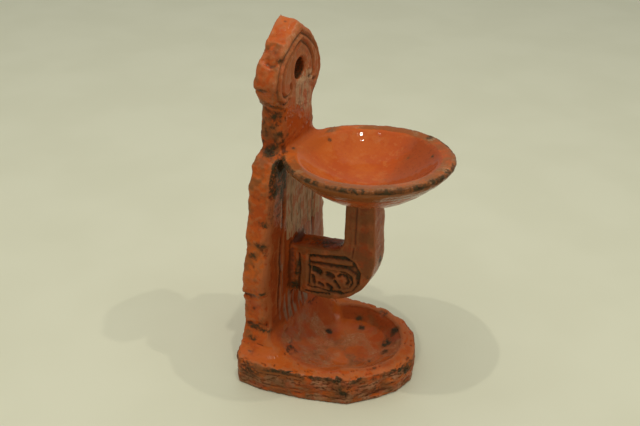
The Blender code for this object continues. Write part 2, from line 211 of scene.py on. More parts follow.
# The corners of the knife cuts, from the back on the left round the front to the back on the right.
tray_corners = [
    (x * mm, y * mm) for x, y in (
        (-45.2, 51.3), (-49.8, 47.2), (-50.6, 33.0), (-46.0, 8.0), (-38.0, -17.4), (-25.0, -30.4),
        (-13.0, -39.0), (0.0, -42.7), (12.5, -39.6), (24.5, -34.2), (33.5, -24.0), (39.5, -9.0), (40.8, 9.0),
        (39.2, 23.0), (39.0, 51.3),
    )
]
recess_centre = (2.5 * mm, 0.0)
recess_radius = 31.8 * mm
recess_floor_z = 7.2 * mm
recess_roundness = 3.4
# Where the clay drawn up to the slab begins to fill the recess: the bearing from its centre and how far out.
fill_bearings = (36.0, 44.0, 90.0, 106.0, 139.0, 180.0, 206.0)
fill_starts = tuple(share * recess_radius for share in (1.07, 0.85, 0.61, 0.65, 0.65, 0.79, 1.07))
fill_slope = 0.36
ramp_rise = 18.0 * mm
ramp_reach_y = 20.0 * mm
ramp_reach_x = 11.5 * mm


def rim_height(x):
    """The height of the tray's rim, which falls from left to right."""
    left, right = tray_corners[2][0], tray_corners[12][0]
    return rim_left_z + (rim_right_z - rim_left_z) * (x - left) / (right - left)


def tray_top(x, y):
    """The height of the tray's upper surface, with its recess and the clay drawn up to the slab."""
    rim = rim_height(x)
    away = np.hypot(x - recess_centre[0], y - recess_centre[1])
    bearing = np.degrees(np.arctan2(y - recess_centre[1], x - recess_centre[0])) % 360.0
    fill_start = np.interp(bearing, fill_bearings, fill_starts)

    def bowl_height(distance):
        share = np.minimum(distance / recess_radius, 1.0)
        return recess_floor_z + (rim - recess_floor_z) * share ** recess_roundness

    fill = bowl_height(fill_start) + fill_slope * (away - fill_start)
    bowl = np.where(away > fill_start, np.minimum(bowl_height(away), fill), bowl_height(away))
    away_x = np.maximum(np.abs(x) - slab_turns[0][1], 0.0) / ramp_reach_x
    away_y = np.maximum(slab_front_y - y, 0.0) / ramp_reach_y
    near = 1.0 - np.minimum(np.hypot(away_x, away_y), 1.0)
    return bowl + ramp_rise * (1.0 - np.sqrt(1.0 - near * near))


tray = add_block("tray", (-55.0 * mm, -45.0 * mm, 0.0), (45.0 * mm, tray_back_y, rim_left_z))
for (from_x, from_y), (to_x, to_y) in zip(tray_corners, tray_corners[1:]):
    inward = Vector((from_y - to_y, to_x - from_x, 0.0)).normalized()
    take_all()
    bpy.ops.mesh.bisect(plane_co=(from_x, from_y, 0.0), plane_no=inward, use_fill=True, clear_inner=True)
for is_top, rounding in ((True, tray_edge_rounding), (False, tray_undercut)):
    pad = bmesh.from_edit_mesh(tray.data)
    for edge in pad.edges:
        level = [vertex.co.z > rim_left_z / 2.0 for vertex in edge.verts]
        edge.select = level == [is_top, is_top]
    bmesh.update_edit_mesh(tray.data)
    bpy.ops.mesh.bevel(offset=rounding, segments=3, affect="EDGES")
for axis in (0, 1):
    reach = np.arange(-56.0 * mm, 56.0 * mm, tray_grid)
    for place in reach:
        point = [0.0, 0.0, 0.0]
        normal = [0.0, 0.0, 0.0]
        point[axis] = place
        normal[axis] = 1.0
        take_all()
        bpy.ops.mesh.bisect(plane_co=point, plane_no=normal)
bpy.ops.object.mode_set(mode="OBJECT")
for vertex in tray.data.vertices:
    x, y, z = vertex.co
    vertex.co.z = z * float(tray_top(x, y)) / rim_left_z

# The arm. A square bar of clay luted to the slab and turned up into a post while it was soft; the elbow's
# outside is bent round in a full curve and its inside in a tight one. Its side outline is drawn first, then
# given its width.
arm_width = 15.6 * mm
arm_edge_rounding = 2.2 * mm
bar_under_z = 44.8 * mm
bar_top_z = 75.5 * mm
bar_top_rise = 6.0 * mm
post_front_y = -13.8 * mm
post_back_y = 2.7 * mm
post_top_z = 121.7 * mm
elbow_start_y = 18.0 * mm
elbow_top_z = 80.0 * mm
elbow_swell = 2.8 * mm
elbow_steps = 18
crook_radius = 8.5 * mm
crook_steps = 8
arm_root_y = 41.0 * mm


def draw_line(name, points):
    """Draws a line of edges through points as the active object, left open for editing."""
    let_go()
    bpy.ops.mesh.primitive_plane_add(size=1.0 * mm, location=(0.0, 0.0, 0.0))
    open_as(name)
    take_all()
    bpy.ops.mesh.merge(type="CENTER")
    bpy.ops.transform.translate(value=points[0])
    for start, end in zip(points, points[1:]):
        bpy.ops.mesh.extrude_region_move(TRANSFORM_OT_translate={"value": Vector(end) - Vector(start)})
    return bpy.context.object


def bend(centre, radii, start_degrees, end_degrees, steps):
    """Points of an elliptic curve in the arm's side view, both ends included."""
    points = []
    for i in range(steps + 1):
        a = math.radians(start_degrees + (end_degrees - start_degrees) * i / steps)
        points.append((
            -arm_width / 2.0, centre[0] + radii[0] * math.cos(a), centre[1] + radii[1] * math.sin(a),
        ))
    return points


crook_y = post_back_y + crook_radius
crook_z = bar_top_z + bar_top_rise * (slab_front_y - crook_y) / (slab_front_y - post_back_y) + crook_radius
elbow_radii = (elbow_start_y - post_front_y + elbow_swell, elbow_top_z - bar_under_z)
left_x = -arm_width / 2.0
outline = (
    [(left_x, arm_root_y, bar_under_z)]
    + bend((elbow_start_y, elbow_top_z), elbow_radii, 270, 180, elbow_steps)
    + [(left_x, post_front_y, post_top_z), (left_x, post_back_y, post_top_z)]
    + bend((crook_y, crook_z), (crook_radius, crook_radius), 180, 270, crook_steps)
    + [(left_x, arm_root_y, bar_top_z)]
)
arm = draw_line("arm", outline)
take_all()
bpy.ops.mesh.edge_face_add()
bpy.ops.mesh.extrude_region_move(TRANSFORM_OT_translate={"value": (arm_width, 0.0, 0.0)})
take_all()
bpy.ops.mesh.normals_make_consistent(inside=False)
bpy.ops.mesh.select_all(action="DESELECT")
bar = bmesh.from_edit_mesh(arm.data)
for edge in bar.edges:
    sides = [abs(face.normal.x) > 0.9 for face in edge.link_faces]
    edge.select = any(sides) and not all(sides)
bmesh.update_edit_mesh(arm.data)
bpy.ops.mesh.bevel(offset=arm_edge_rounding, segments=3, affect="EDGES")
bpy.ops.object.mode_set(mode="OBJECT")

# The oil dish. It was thrown on the wheel as a small open bowl, its foot cut flat, its rim turned out, and
# luted on the post with the back of its rim pressed against the slab; it dried a little oval and tipped.
dish_centre_y = -5.6 * mm
dish_rim_z = 141.3 * mm
dish_radius = 45.3 * mm
dish_oval = 1.03
dish_tip, dish_lean = math.radians(2.8), math.radians(0.9)
dish_height = 22.0 * mm
dish_foot_radius = 21.5 * mm
dish_lip = 3.4 * mm
dish_bowl_depth = 15.0 * mm
dish_rim_width = 8.5 * mm
dish_rim_drop = 1.0 * mm
dish_sides = 96
flank_steps, bowl_steps = 14, 26
flank_bend_out, flank_bend_up = 0.92, 1.18
bowl_roundness = 2.6

flank = [
    (
        dish_foot_radius + (dish_radius - dish_foot_radius) * t ** flank_bend_out,
        -dish_height + (dish_height - dish_lip) * t ** flank_bend_up,
    )
    for t in (i / flank_steps for i in range(flank_steps + 1))
]
lip = [
    (dish_radius + 0.3 * mm, -dish_lip * 0.6), (dish_radius, -dish_lip * 0.2), (dish_radius - 1.2 * mm, 0.0),
]
bowl_radius = dish_radius - dish_rim_width
bowl = [
    (bowl_radius * share, -dish_bowl_depth + (dish_bowl_depth - dish_rim_drop) * share ** bowl_roundness)
    for share in (1.0 - i / bowl_steps for i in range(bowl_steps + 1))
]
profile = [(0.0, -dish_height)] + flank + lip + bowl
dish = draw_line("dish", [(radius, 0.0, height) for radius, height in profile])
take_all()
bpy.ops.mesh.spin(steps=dish_sides, angle=2.0 * math.pi, center=(0.0, 0.0, 0.0), axis=(0.0, 0.0, 1.0))
take_all()
bpy.ops.mesh.remove_doubles(threshold=0.02 * mm)
bpy.ops.mesh.normals_make_consistent(inside=False)
bpy.ops.transform.resize(value=(1.0, dish_oval, 1.0), center_override=(0.0, 0.0, 0.0))
bpy.ops.object.mode_set(mode="OBJECT")
dish.data.transform(
    Matrix.Translation((0.0, dish_centre_y, dish_rim_z))
    @ Matrix.Rotation(-dish_tip, 4, "X") @ Matrix.Rotation(dish_lean, 4, "Y")
)

# The luting. Slab, tray, arm and dish are stuck together with slip, and a wet finger is run round every joint
# until the four are one body of clay; the piece that is glazed and fired is this single one.
clay_voxel = 1.24 * mm
let_go()
for part in (slab, tray, arm, dish):
    part.select_set(True)
bpy.context.view_layer.objects.active = slab
bpy.ops.object.join()
lamp = bpy.context.object
lamp.name = "glazed_lamp"
apply_modifier("REMESH", mode="VOXEL", voxel_size=clay_voxel, adaptivity=0.0)
apply_modifier("SMOOTH", factor=0.5, iterations=4)


def places():
    """The lamp's vertices as an array."""
    flat = np.empty(len(lamp.data.vertices) * 3)
    lamp.data.vertices.foreach_get("co", flat)
    return flat.reshape(-1, 3)


def directions():
    """The lamp's vertex normals as an array."""
    flat = np.empty(len(lamp.data.vertices) * 3)
    lamp.data.vertex_normals.foreach_get("vector", flat)
    return flat.reshape(-1, 3)


def shape_to(moved):
    """Moves the lamp's vertices to new places."""
    lamp.data.vertices.foreach_set("co", moved.ravel())
    lamp.data.update()


def near(points, centre, radius):
    """How near points are to a centre, from 1 there to 0 at the radius, which may differ along X, Y and Z."""
    away = (points - np.array(centre)) / np.array(radius)
    return 1.0 - ease(np.sqrt((away ** 2).sum(axis=1)))


def smooth_by(weights, iterations):
    """Smooths the clay where the weights are high, as a wet finger does."""
    group = lamp.vertex_groups.new(name="wet")
    for i in np.flatnonzero(weights > 0.01):
        group.add([int(i)], float(weights[i]), "REPLACE")
    apply_modifier("SMOOTH", factor=0.5, iterations=iterations, vertex_group=group.name)
    lamp.vertex_groups.remove(lamp.vertex_groups["wet"])


spots = places()
joints = np.zeros(len(spots))
for centre, radius in (
    ((0.0, slab_front_y, (bar_under_z + bar_top_z) / 2.0), (14.0 * mm, 9.0 * mm, 24.0 * mm)),
    ((0.0, slab_front_y, dish_rim_z - 2.0 * mm), (30.0 * mm, 9.0 * mm, 13.0 * mm)),
    ((0.0, (post_front_y + post_back_y) / 2.0, dish_rim_z - dish_height), (17.0 * mm, 17.0 * mm, 7.0 * mm)),
    ((0.0, slab_front_y, 24.0 * mm), (44.0 * mm, 12.0 * mm, 12.0 * mm)),
):
    joints = np.maximum(joints, near(spots, centre, radius))
smooth_by(np.clip(joints * 2.2, 0.0, 1.0), 22)
spots = places()
dish_body = near(spots, (0.0, dish_centre_y, dish_rim_z - 9.0 * mm), (56.0 * mm, 56.0 * mm, 22.0 * mm))
smooth_by(np.clip(dish_body * 3.0, 0.0, 1.0) * (spots[:, 1] < slab_front_y - mm), 20)

# The hand marks in the wet clay. Every face still swells and dips where palms and fingers pressed it: the
# slab's edges are pinched in at several heights, its front is combed downwards, and long grooves part off its
# two borders.
fine_zone_smoothing = 2
swell_size, swell_depth = 24.0 * mm, 0.38 * mm
lump_size, lump_depth = 6.0 * mm, 0.24 * mm
# The pinches along each edge of the slab, as height, depth and half height in millimetres.
pinches = {
    -1: (
        (199.0, 0.5, 2.6), (191.5, 1.2, 3.4), (176.0, 0.5, 1.3), (166.0, 0.5, 6.0), (141.0, 0.8, 6.0),
        (118.0, 0.4, 7.0), (85.0, 1.1, 7.5), (55.0, 0.9, 2.6), (33.0, 1.7, 6.5),
    ),
    1: ((163.0, 0.6, 6.0), (139.0, 0.8, 6.0), (112.0, 0.7, 7.0), (79.0, 0.9, 6.0), (44.0, 1.0, 5.0)),
}
border_line_top = (17.2 * mm, 116.0 * mm)
border_line_low = (22.6 * mm, 34.0 * mm)
border_line_half = 2.2 * mm
border_line_depth = 1.5 * mm
border_line_steps = 12
comb_gap = 3.0 * mm
comb_depth = 0.17 * mm


def refine(wanted):
    """Splits the faces that a test of their centre and normal picks, and eases the new points."""
    bpy.ops.object.mode_set(mode="EDIT")
    bpy.ops.mesh.select_mode(type="FACE")
    bpy.ops.mesh.select_all(action="DESELECT")
    bm = bmesh.from_edit_mesh(lamp.data)
    for face in bm.faces:
        face.select = wanted(face.calc_center_median(), face.normal)
    bmesh.update_edit_mesh(lamp.data)
    bpy.ops.mesh.subdivide(number_cuts=1)
    bpy.ops.mesh.select_mode(type="VERT")
    bm = bmesh.from_edit_mesh(lamp.data)
    picked = np.array([vertex.select for vertex in bm.verts], dtype=float)
    bpy.ops.object.mode_set(mode="OBJECT")
    smooth_by(picked, fine_zone_smoothing)


def wander(points, size, seed=0.0, stretch=(1.0, 1.0, 1.0)):
    """Smooth random numbers, about -0.6 to 0.6, in lumps of a size that may be stretched along an axis."""
    scaled = points / (size * np.array(stretch)) + 17.3 * seed
    return np.array([noise.noise(point) for point in scaled.tolist()])


def away_from_path(u, v, path):
    """The distance of points (u, v) from a path of short straight lengths."""
    nearest = np.full(len(u), np.inf)
    for (from_u, from_v), (to_u, to_v) in zip(path, path[1:]):
        run_u, run_v = to_u - from_u, to_v - from_v
        share = ((u - from_u) * run_u + (v - from_v) * run_v) / (run_u ** 2 + run_v ** 2)
        share = np.clip(share, 0.0, 1.0)
        nearest = np.minimum(nearest, np.hypot(u - from_u - share * run_u, v - from_v - share * run_v))
    return nearest


def gouge(u, v, path, half, depth, burr=0.0):
    """The cut that a round-nosed tool leaves along a path, with a burr thrown up beside it."""
    away = away_from_path(u, v, path) / half
    return -depth * (1.0 - ease(away)) + burr * ease(away) * (1.0 - ease((away - 1.0) / 1.2))


def is_edge_or_carved(centre, normal):
    """Whether a place is on the carved head, the arm's sides, the slab's edges or the tray's side."""
    on_head = centre.z > 156.0 * mm and centre.y < slab_front_y + 5.0 * mm and normal.y < 0.4
    on_arm = abs(normal.x) > 0.4 and -18.0 * mm < centre.y < 34.0 * mm and (
        bar_under_z - mm < centre.z < 86.0 * mm
    )
    on_slab_edge = centre.y > slab_front_y - mm and abs(normal.x) > 0.55 and centre.z > 22.0 * mm
    on_tray_side = centre.z < 20.0 * mm and normal.z < 0.85 and normal.z > -0.5 and (
        math.hypot(centre.x - recess_centre[0], centre.y) > recess_radius + 2.0 * mm
    )
    return on_head or (on_arm and abs(centre.x) > 4.0 * mm) or on_slab_edge or on_tray_side


refine(is_edge_or_carved)
spots, outward = places(), directions()
x, y, z = spots.T
facing_front = ease((-outward[:, 1] - 0.3) / 0.5)
edge_half = np.array([half_width(height) for height in z])
on_slab = ease((y - slab_front_y + 1.2 * mm) / mm)
above_foot = ease((z - 20.0 * mm) / (6.0 * mm))
on_slab_edge = on_slab * ease((np.abs(x) - edge_half + 4.5 * mm) / (3.0 * mm)) * above_foot
above_ground = ease((z - 1.0 * mm) / (3.0 * mm))
from_dish_axis = np.hypot(x, (y - dish_centre_y) / dish_oval)
in_bowl = ease((z - dish_rim_z + 20.0 * mm) / (4.0 * mm)) * (from_dish_axis < dish_radius - 1.0 * mm) * (
    outward[:, 2] > 0.3) * (y < slab_front_y - mm)
calm = 1.0 - 0.7 * in_bowl
lift = calm * above_ground * (
    swell_depth * wander(spots, swell_size, 1.0) + lump_depth * wander(spots, lump_size, 2.0)
    + on_slab_edge * (0.70 * mm * wander(spots, 8.5 * mm, 3.0) + 0.42 * mm * wander(spots, 3.2 * mm, 4.0))
)
for side, marks in pinches.items():
    on_this_edge = on_slab_edge * (np.sign(x) == side)
    for mark_z, depth, half in marks:
        drift = 5.0 * mm * wander(spots, 13.0 * mm, mark_z) + 0.8 * mm * wander(spots, 3.5 * mm, mark_z + 0.5)
        away = np.abs(z - mark_z * mm - drift) / (half * mm)
        uneven = 1.0 + 1.1 * wander(spots, 7.0 * mm, mark_z + 0.7)
        lift -= depth * mm * uneven * on_this_edge * (1.0 - ease(away))
front = on_slab * facing_front
for side in (-1.0, 1.0):
    path = []
    for step in range(border_line_steps + 1):
        t = step / border_line_steps
        path.append((
            side * (border_line_top[0] + (border_line_low[0] - border_line_top[0]) * float(ease(t))),
            border_line_top[1] + (border_line_low[1] - border_line_top[1]) * t,
        ))
    wobble = 1.9 * mm * wander(spots, 22.0 * mm, 5.0) + 0.5 * mm * wander(spots, 6.0 * mm, 5.5)
    cut = gouge(x + wobble, z, path, border_line_half, border_line_depth, 0.25 * mm)
    fade = ease((z - 30.0 * mm) / (26.0 * mm)) * ease((122.0 * mm - z) / (26.0 * mm))
    fade = fade * (0.75 + 0.9 * wander(spots, 15.0 * mm, 6.0 + side))
    lift += front * fade * cut
combed = front * (np.abs(x) < 22.0 * mm) * ease((z - 14.0 * mm) / (10.0 * mm)) * (
    1.0 - 0.8 * ease((z - 136.0 * mm) / (6.0 * mm)))
lift += comb_depth * combed * (
    wander(spots, comb_gap, 7.0, (1.0, 1.0, 11.0))
    + 0.6 * wander(spots, comb_gap / 2.2, 8.0, (1.0, 1.0, 16.0))
)
shape_to(spots + outward * lift[:, None])

# The carving of the head. Two lines cut with a round-nosed tool into the leather-hard clay follow the pointed
# outline, one inside the other; they curl inwards at the two lobes, and the left curl ends in a deep stab.
head_cut_half = 1.5 * mm
head_cut_depth = 1.35 * mm
head_burr = 0.3 * mm
head_line_steps = 14


def head_half_line(side, top_z, half, fullness, curl_z, curl_radius, curl_degrees):
    """Half of a carved line on the head, from its pointed top down the side and round the lobe's curl."""
    path = []
    for i in range(head_line_steps):
        share = 1.0 - i / head_line_steps
        path.append((side * half * (1.0 - share ** fullness), curl_z + (top_z - curl_z) * share))
    for i in range(head_line_steps + 1):
        turn = math.radians(curl_degrees) * i / head_line_steps
        path.append((
            side * (half - curl_radius + curl_radius * math.cos(turn)),
            curl_z - curl_radius * math.sin(turn),
        ))
    return path


spots, outward = places(), directions()
x, y, z = spots.T
on_head_front = ease((-outward[:, 1] - 0.15) / 0.4) * (z > 155.0 * mm) * (y < slab_front_y + 4.0 * mm)
u = x + 0.35 * mm * wander(spots, 8.0 * mm, 11.0)
v = z + 0.35 * mm * wander(spots, 8.0 * mm, 12.0)
lift = np.zeros(len(spots))
for path in (
    head_half_line(1, 200.2 * mm, 21.9 * mm, 2.4, 175.5 * mm, 5.0 * mm, 125.0),
    head_half_line(-1, 200.2 * mm, 23.4 * mm, 2.8, 173.0 * mm, 7.0 * mm, 128.0),
    head_half_line(1, 196.2 * mm, 14.4 * mm, 2.6, 176.5 * mm, 3.0 * mm, 205.0),
    head_half_line(-1, 196.2 * mm, 19.0 * mm, 2.9, 174.5 * mm, 5.2 * mm, 140.0),
):
    lift += gouge(u, v, path, head_cut_half, head_cut_depth, head_burr)
lift = np.maximum(lift, -1.3 * head_cut_depth)
stab = ((-9.9 * mm, 174.2 * mm), (-8.9 * mm, 171.6 * mm), (-9.8 * mm, 169.4 * mm))
stab_half, stab_depth = 1.5 * mm, 2.4 * mm
lift += gouge(u, v, stab, stab_half, stab_depth)
hole_lip = np.hypot(x, z - hole_z) / hole_front_radius
lift += 0.35 * mm * (1.0 - ease(np.abs(hole_lip - 1.35) / 0.4))
shape_to(spots + outward * (on_head_front * lift)[:, None])

# The carving of the arm. Both sides of the bar carry the same panel, cut in the leather-hard clay: a frame
# line, and inside it a rounded bar and a curling cloud scroll that stand up from a sunk ground, with deep
# hollows stabbed out between the scroll's arms.
frame_cut_half, frame_cut_depth = 1.0 * mm, 1.2 * mm
ground_depth = 1.5 * mm
# Paths on the bar's side are (y, z) in millimetres. Each cut of the frame has its path, and its half width
# and depth against the usual.
frame_cuts = (
    (((30.6, 71.5), (30.0, 60.0), (30.6, 46.5)), 1.25, 1.3),
    (((25.4, 47.2), (18.0, 48.0), (10.0, 50.0)), 1.0, 1.0),
    (((-3.0, 79.0), (-4.4, 92.0), (-4.8, 112.0)), 0.8, 0.45),
)
panel_edge = (
    (25.2, 73.2), (12.0, 76.2), (1.0, 79.0), (-5.5, 76.0), (-9.0, 70.0), (-8.6, 62.5), (-4.5, 56.0),
    (2.5, 51.4), (12.0, 50.6), (25.2, 50.2),
)
# What stands up inside the panel, as a path and its half width: the rounded bar, and the big curl.
scroll_ridges = (
    (((22.4, 70.4), (10.0, 72.6), (-2.0, 74.6)), 1.9),
    (((22.6, 66.2), (10.0, 67.6), (0.4, 69.4), (-4.6, 66.8), (-5.6, 61.6), (-3.0, 57.0), (1.6, 54.2)), 1.3),
)
scroll_ground = (
    (23.4, 66.0), (4.0, 67.6), (-3.6, 63.0), (-2.0, 57.4), (4.0, 53.6), (12.0, 51.8), (23.6, 51.4),
)
# Inside the curl the clay stands at its own height, and these hollows are stabbed and scooped out of it: each
# is a path, its half width and its depth.
scoops = (
    (((20.8, 63.4), (17.8, 62.6)), 2.7, 2.5),
    (((21.6, 58.4), (21.0, 54.4)), 1.5, 2.0),
    (((11.6, 62.6), (9.4, 62.0)), 2.4, 2.4),
    (((17.2, 54.4), (15.4, 53.8)), 1.5, 1.7),
    (((12.0, 55.0), (9.8, 54.0)), 1.9, 2.2),
    (((7.2, 59.4), (4.6, 56.0)), 1.2, 1.9),
    (((5.2, 63.6), (3.4, 65.4), (0.4, 65.0), (-1.4, 62.4), (-0.4, 59.8)), 1.0, 1.5),
)


def inside(u, v, corners):
    """1 for points (u, v) inside a closed outline of corners, else 0."""
    within = np.zeros(len(u), dtype=bool)
    for (from_u, from_v), (to_u, to_v) in zip(corners, corners[1:] + corners[:1]):
        crosses = (from_v > v) != (to_v > v)
        reach = from_u + (to_u - from_u) * (v - from_v) / (to_v - from_v if to_v != from_v else 1.0)
        within ^= crosses & (u < reach)
    return within.astype(float)


spots, outward = places(), directions()
x, y, z = spots.T
on_arm_side = ease((np.abs(outward[:, 0]) - 0.35) / 0.4) * (np.abs(x) < 11.0 * mm) * (y < 33.0 * mm) * (
    z > bar_under_z) * (z < 116.0 * mm)
u = y + 0.35 * mm * wander(spots, 6.0 * mm, 21.0) + 0.4 * mm * (x > 0.0)
v = z + 0.35 * mm * wander(spots, 6.0 * mm, 22.0)
lift = np.zeros(len(spots))
for path, width, depth in frame_cuts:
    lift += gouge(u, v, np.array(path) * mm, width * frame_cut_half, depth * frame_cut_depth, 0.15 * mm)
rim_line = panel_edge + panel_edge[:1]
sunk = inside(u, v, tuple((a * mm, b * mm) for a, b in panel_edge))
sunk = sunk * ease(away_from_path(u, v, np.array(rim_line) * mm) / (0.9 * mm))
standing = np.zeros(len(spots))
for path, half in scroll_ridges:
    away = away_from_path(u, v, np.array(path) * mm) / (half * mm)
    standing = np.maximum(standing, 1.0 - ease((away - 0.45) / 0.75))
kept = inside(u, v, tuple((a * mm, b * mm) for a, b in scroll_ground))
standing = np.maximum(standing, 0.75 * kept)
lift -= ground_depth * sunk * (1.0 - standing)
for path, half, depth in scoops:
    away = away_from_path(u, v, np.array(path) * mm) / (half * mm)
    lift -= depth * mm * (1.0 - ease((away - 0.35) / 0.85))
shape_to(spots + outward * (on_arm_side * lift)[:, None])

# The dish's and the tray's surfaces. The dish keeps the spiral of the throwing finger and an uneven, chipped
# lip. The knife dragged scratches along the tray's cut edge, its rims are chipped, and a crease runs round
# the recess.
throwing_gap = 3.6 * mm
throwing_depth = 0.035 * mm
scratch_gap = 2.1 * mm
scratch_depth = 0.55 * mm
chip_depth = 0.8 * mm
rim_wave_depth = 0.45 * mm


def spread(values, rounds):
    """Values evened out between neighbouring vertices a number of times."""
    pairs = np.empty(len(lamp.data.edges) * 2, dtype=np.int64)
    lamp.data.edges.foreach_get("vertices", pairs)
    first, second = pairs[0::2], pairs[1::2]
    count = np.bincount(pairs, minlength=len(values)).astype(float)
    for _ in range(rounds):
        columns = []
        for column in values.T:
            total = np.bincount(first, column[second], len(column))
            total = total + np.bincount(second, column[first], len(column))
            columns.append(total / count)
        values = 0.5 * values + 0.5 * np.array(columns).T
    return values


def hollowness(rounds):
    """How far each place lies below its surroundings, in metres; edges and ridges come out negative."""
    return ((spread(places(), rounds) - places()) * directions()).sum(axis=1)


spots, outward = places(), directions()
x, y, z = spots.T
angle = np.arctan2(x, -(y - dish_centre_y))
from_dish_axis = np.hypot(x, (y - dish_centre_y) / dish_oval)
on_dish = (z > dish_rim_z - dish_height + 3.0 * mm) * (y < slab_front_y - 0.5 * mm) * (
    from_dish_axis < 48.0 * mm)
in_bowl = on_dish * ease((outward[:, 2] - 0.2) / 0.4)
under_dish = on_dish * ease((-outward[:, 2] - 0.1) / 0.3)
turns = 2.0 * math.pi * from_dish_axis / throwing_gap + angle + 2.0 * wander(spots, 20.0 * mm, 31.0)
lift = throwing_depth * (in_bowl * (from_dish_axis < 38.0 * mm) + under_dish) * np.sin(turns)
bowl_edge = np.abs(from_dish_axis - bowl_radius) / (1.6 * mm)
lift += 0.12 * mm * in_bowl * (1.0 - ease(bowl_edge))
at_lip = on_dish * ease((from_dish_axis - dish_radius + 4.0 * mm) / (3.0 * mm))
lift += rim_wave_depth * at_lip * (wander(spots, 18.0 * mm, 32.0) - 0.25)
from_recess = np.hypot(x - recess_centre[0], y - recess_centre[1])
on_tray = (z < 24.0 * mm) * (y < slab_front_y + 20.0 * mm)
tray_side = on_tray * ease((0.75 - outward[:, 2]) / 0.3) * ease((from_recess - recess_radius - 2.0 * mm) / mm)
tray_side = tray_side * above_ground * ease((outward[:, 2] + 0.6) / 0.3)
drag = wander(spots, scratch_gap, 33.0, (6.0, 6.0, 1.0))
drag = drag + 0.7 * wander(spots, scratch_gap / 2.0, 34.0, (4.0, 4.0, 1.0))
lift += scratch_depth * tray_side * (drag - 0.2)
lift += 0.7 * mm * tray_side * wander(spots, 13.0 * mm, 35.0)
recess_bearing = np.degrees(np.arctan2(y - recess_centre[1], x - recess_centre[0])) % 360.0
walled = 1.0 - ease((recess_bearing - 25.0) / 20.0) * ease((215.0 - recess_bearing) / 20.0)
crease = 1.0 - ease(np.abs(from_recess - recess_radius + 1.2 * mm) / (1.5 * mm))
crease = crease * on_tray * (outward[:, 2] > 0.4)
lift -= 0.35 * mm * crease * walled
for chip_x, chip_y, chip_z, radius, depth in (
    (34.0, -9.5, 17.0, 3.2, 1.6), (-16.7, -47.7, 141.5, 3.6, 1.4), (-3.0, -50.4, 141.5, 3.0, 1.1),
    (36.7, -27.6, 140.5, 3.2, 0.9), (-47.6, 22.0, 17.8, 4.0, 1.3), (-43.8, 5.0, 17.8, 3.2, 1.2),
    (-38.6, -13.8, 15.0, 5.0, 1.5), (-9.0, -41.2, 16.0, 4.0, 1.4), (-50.0, 44.0, 15.0, 4.0, 1.5),
):
    bite = near(spots, (chip_x * mm, chip_y * mm, chip_z * mm), (radius * mm,) * 3)
    lift -= depth * mm * bite * (0.7 + 0.8 * wander(spots, 2.2 * mm, chip_x))
crevice = near(spots, (-21.5 * mm, 34.6 * mm, 133.0 * mm), (5.0 * mm, 4.0 * mm, 5.0 * mm))
lift -= 2.2 * mm * crevice
dent = near(spots, (-24.5 * mm, -31.0 * mm, 2.0 * mm), (11.0 * mm, 11.0 * mm, 12.0 * mm))
lift -= 1.8 * mm * dent * tray_side
shape_to(spots + outward * lift[:, None])

ridge = np.clip(-hollowness(6) / (0.10 * mm), 0.0, 1.0)
spots, outward = places(), directions()
x, y, z = spots.T
chipped = ease((wander(spots, 4.5 * mm, 36.0) + 0.5 * wander(spots, 1.6 * mm, 37.0) - 0.05) / 0.25)
edges_that_chip = (on_tray * (z > 9.0 * mm) * (from_recess > recess_radius + 2.0 * mm)) + 0.3 * at_lip
edges_that_chip = edges_that_chip + 0.22 * (on_slab_edge > 0.5) * (z < 160.0 * mm)
lift = -chip_depth * np.clip(edges_that_chip, 0.0, 1.0) * ease((ridge - 0.35) / 0.5) * chipped
lift += 0.10 * mm * wander(spots, 1.8 * mm, 38.0) * (1.0 - 0.85 * in_bowl)
moved = spots + outward * lift[:, None]
moved = np.clip(moved, np.array(cad_low), np.array(cad_high))
shape_to(moved)

# The glaze. A lead glaze was poured over the red clay before firing: amber where thin, deep red where it runs
# thick, rubbed dull and tan on the head and the slab's front, stained olive and black by soot and oil, and
# missing on much of the tray's knife-cut side and on the underside, where the bare clay shows. Painted shade
# and the dish's painted shadow darken it under and round the dish and inside the hanging hole.
amber, amber_pale = (0.47, 0.100, 0.016, 1.0), (0.52, 0.155, 0.036, 1.0)
amber_red = (0.42, 0.072, 0.012, 1.0)
deep_red, pooled_dark = (0.29, 0.054, 0.014, 1.0), (0.090, 0.024, 0.008, 1.0)
rubbed_tan, rubbed_pale = (0.41, 0.135, 0.046, 1.0), (0.48, 0.285, 0.155, 1.0)
drip_grey, drip_green = (0.30, 0.240, 0.175, 1.0), (0.24, 0.170, 0.100, 1.0)
grime_brown, smudge_brown = (0.150, 0.066, 0.022, 1.0), (0.062, 0.027, 0.010, 1.0)
olive, soot_black = (0.052, 0.038, 0.015, 1.0), (0.013, 0.009, 0.006, 1.0)
groove_grey = (0.140, 0.088, 0.046, 1.0)
bare_clay, bare_clay_pale = (0.32, 0.090, 0.040, 1.0), (0.42, 0.215, 0.120, 1.0)
gloss_roughness, rubbed_roughness, bare_roughness, smudged_roughness = 0.08, 0.44, 0.62, 0.50
glaze_ior = 1.30
glaze_mirror = 0.20
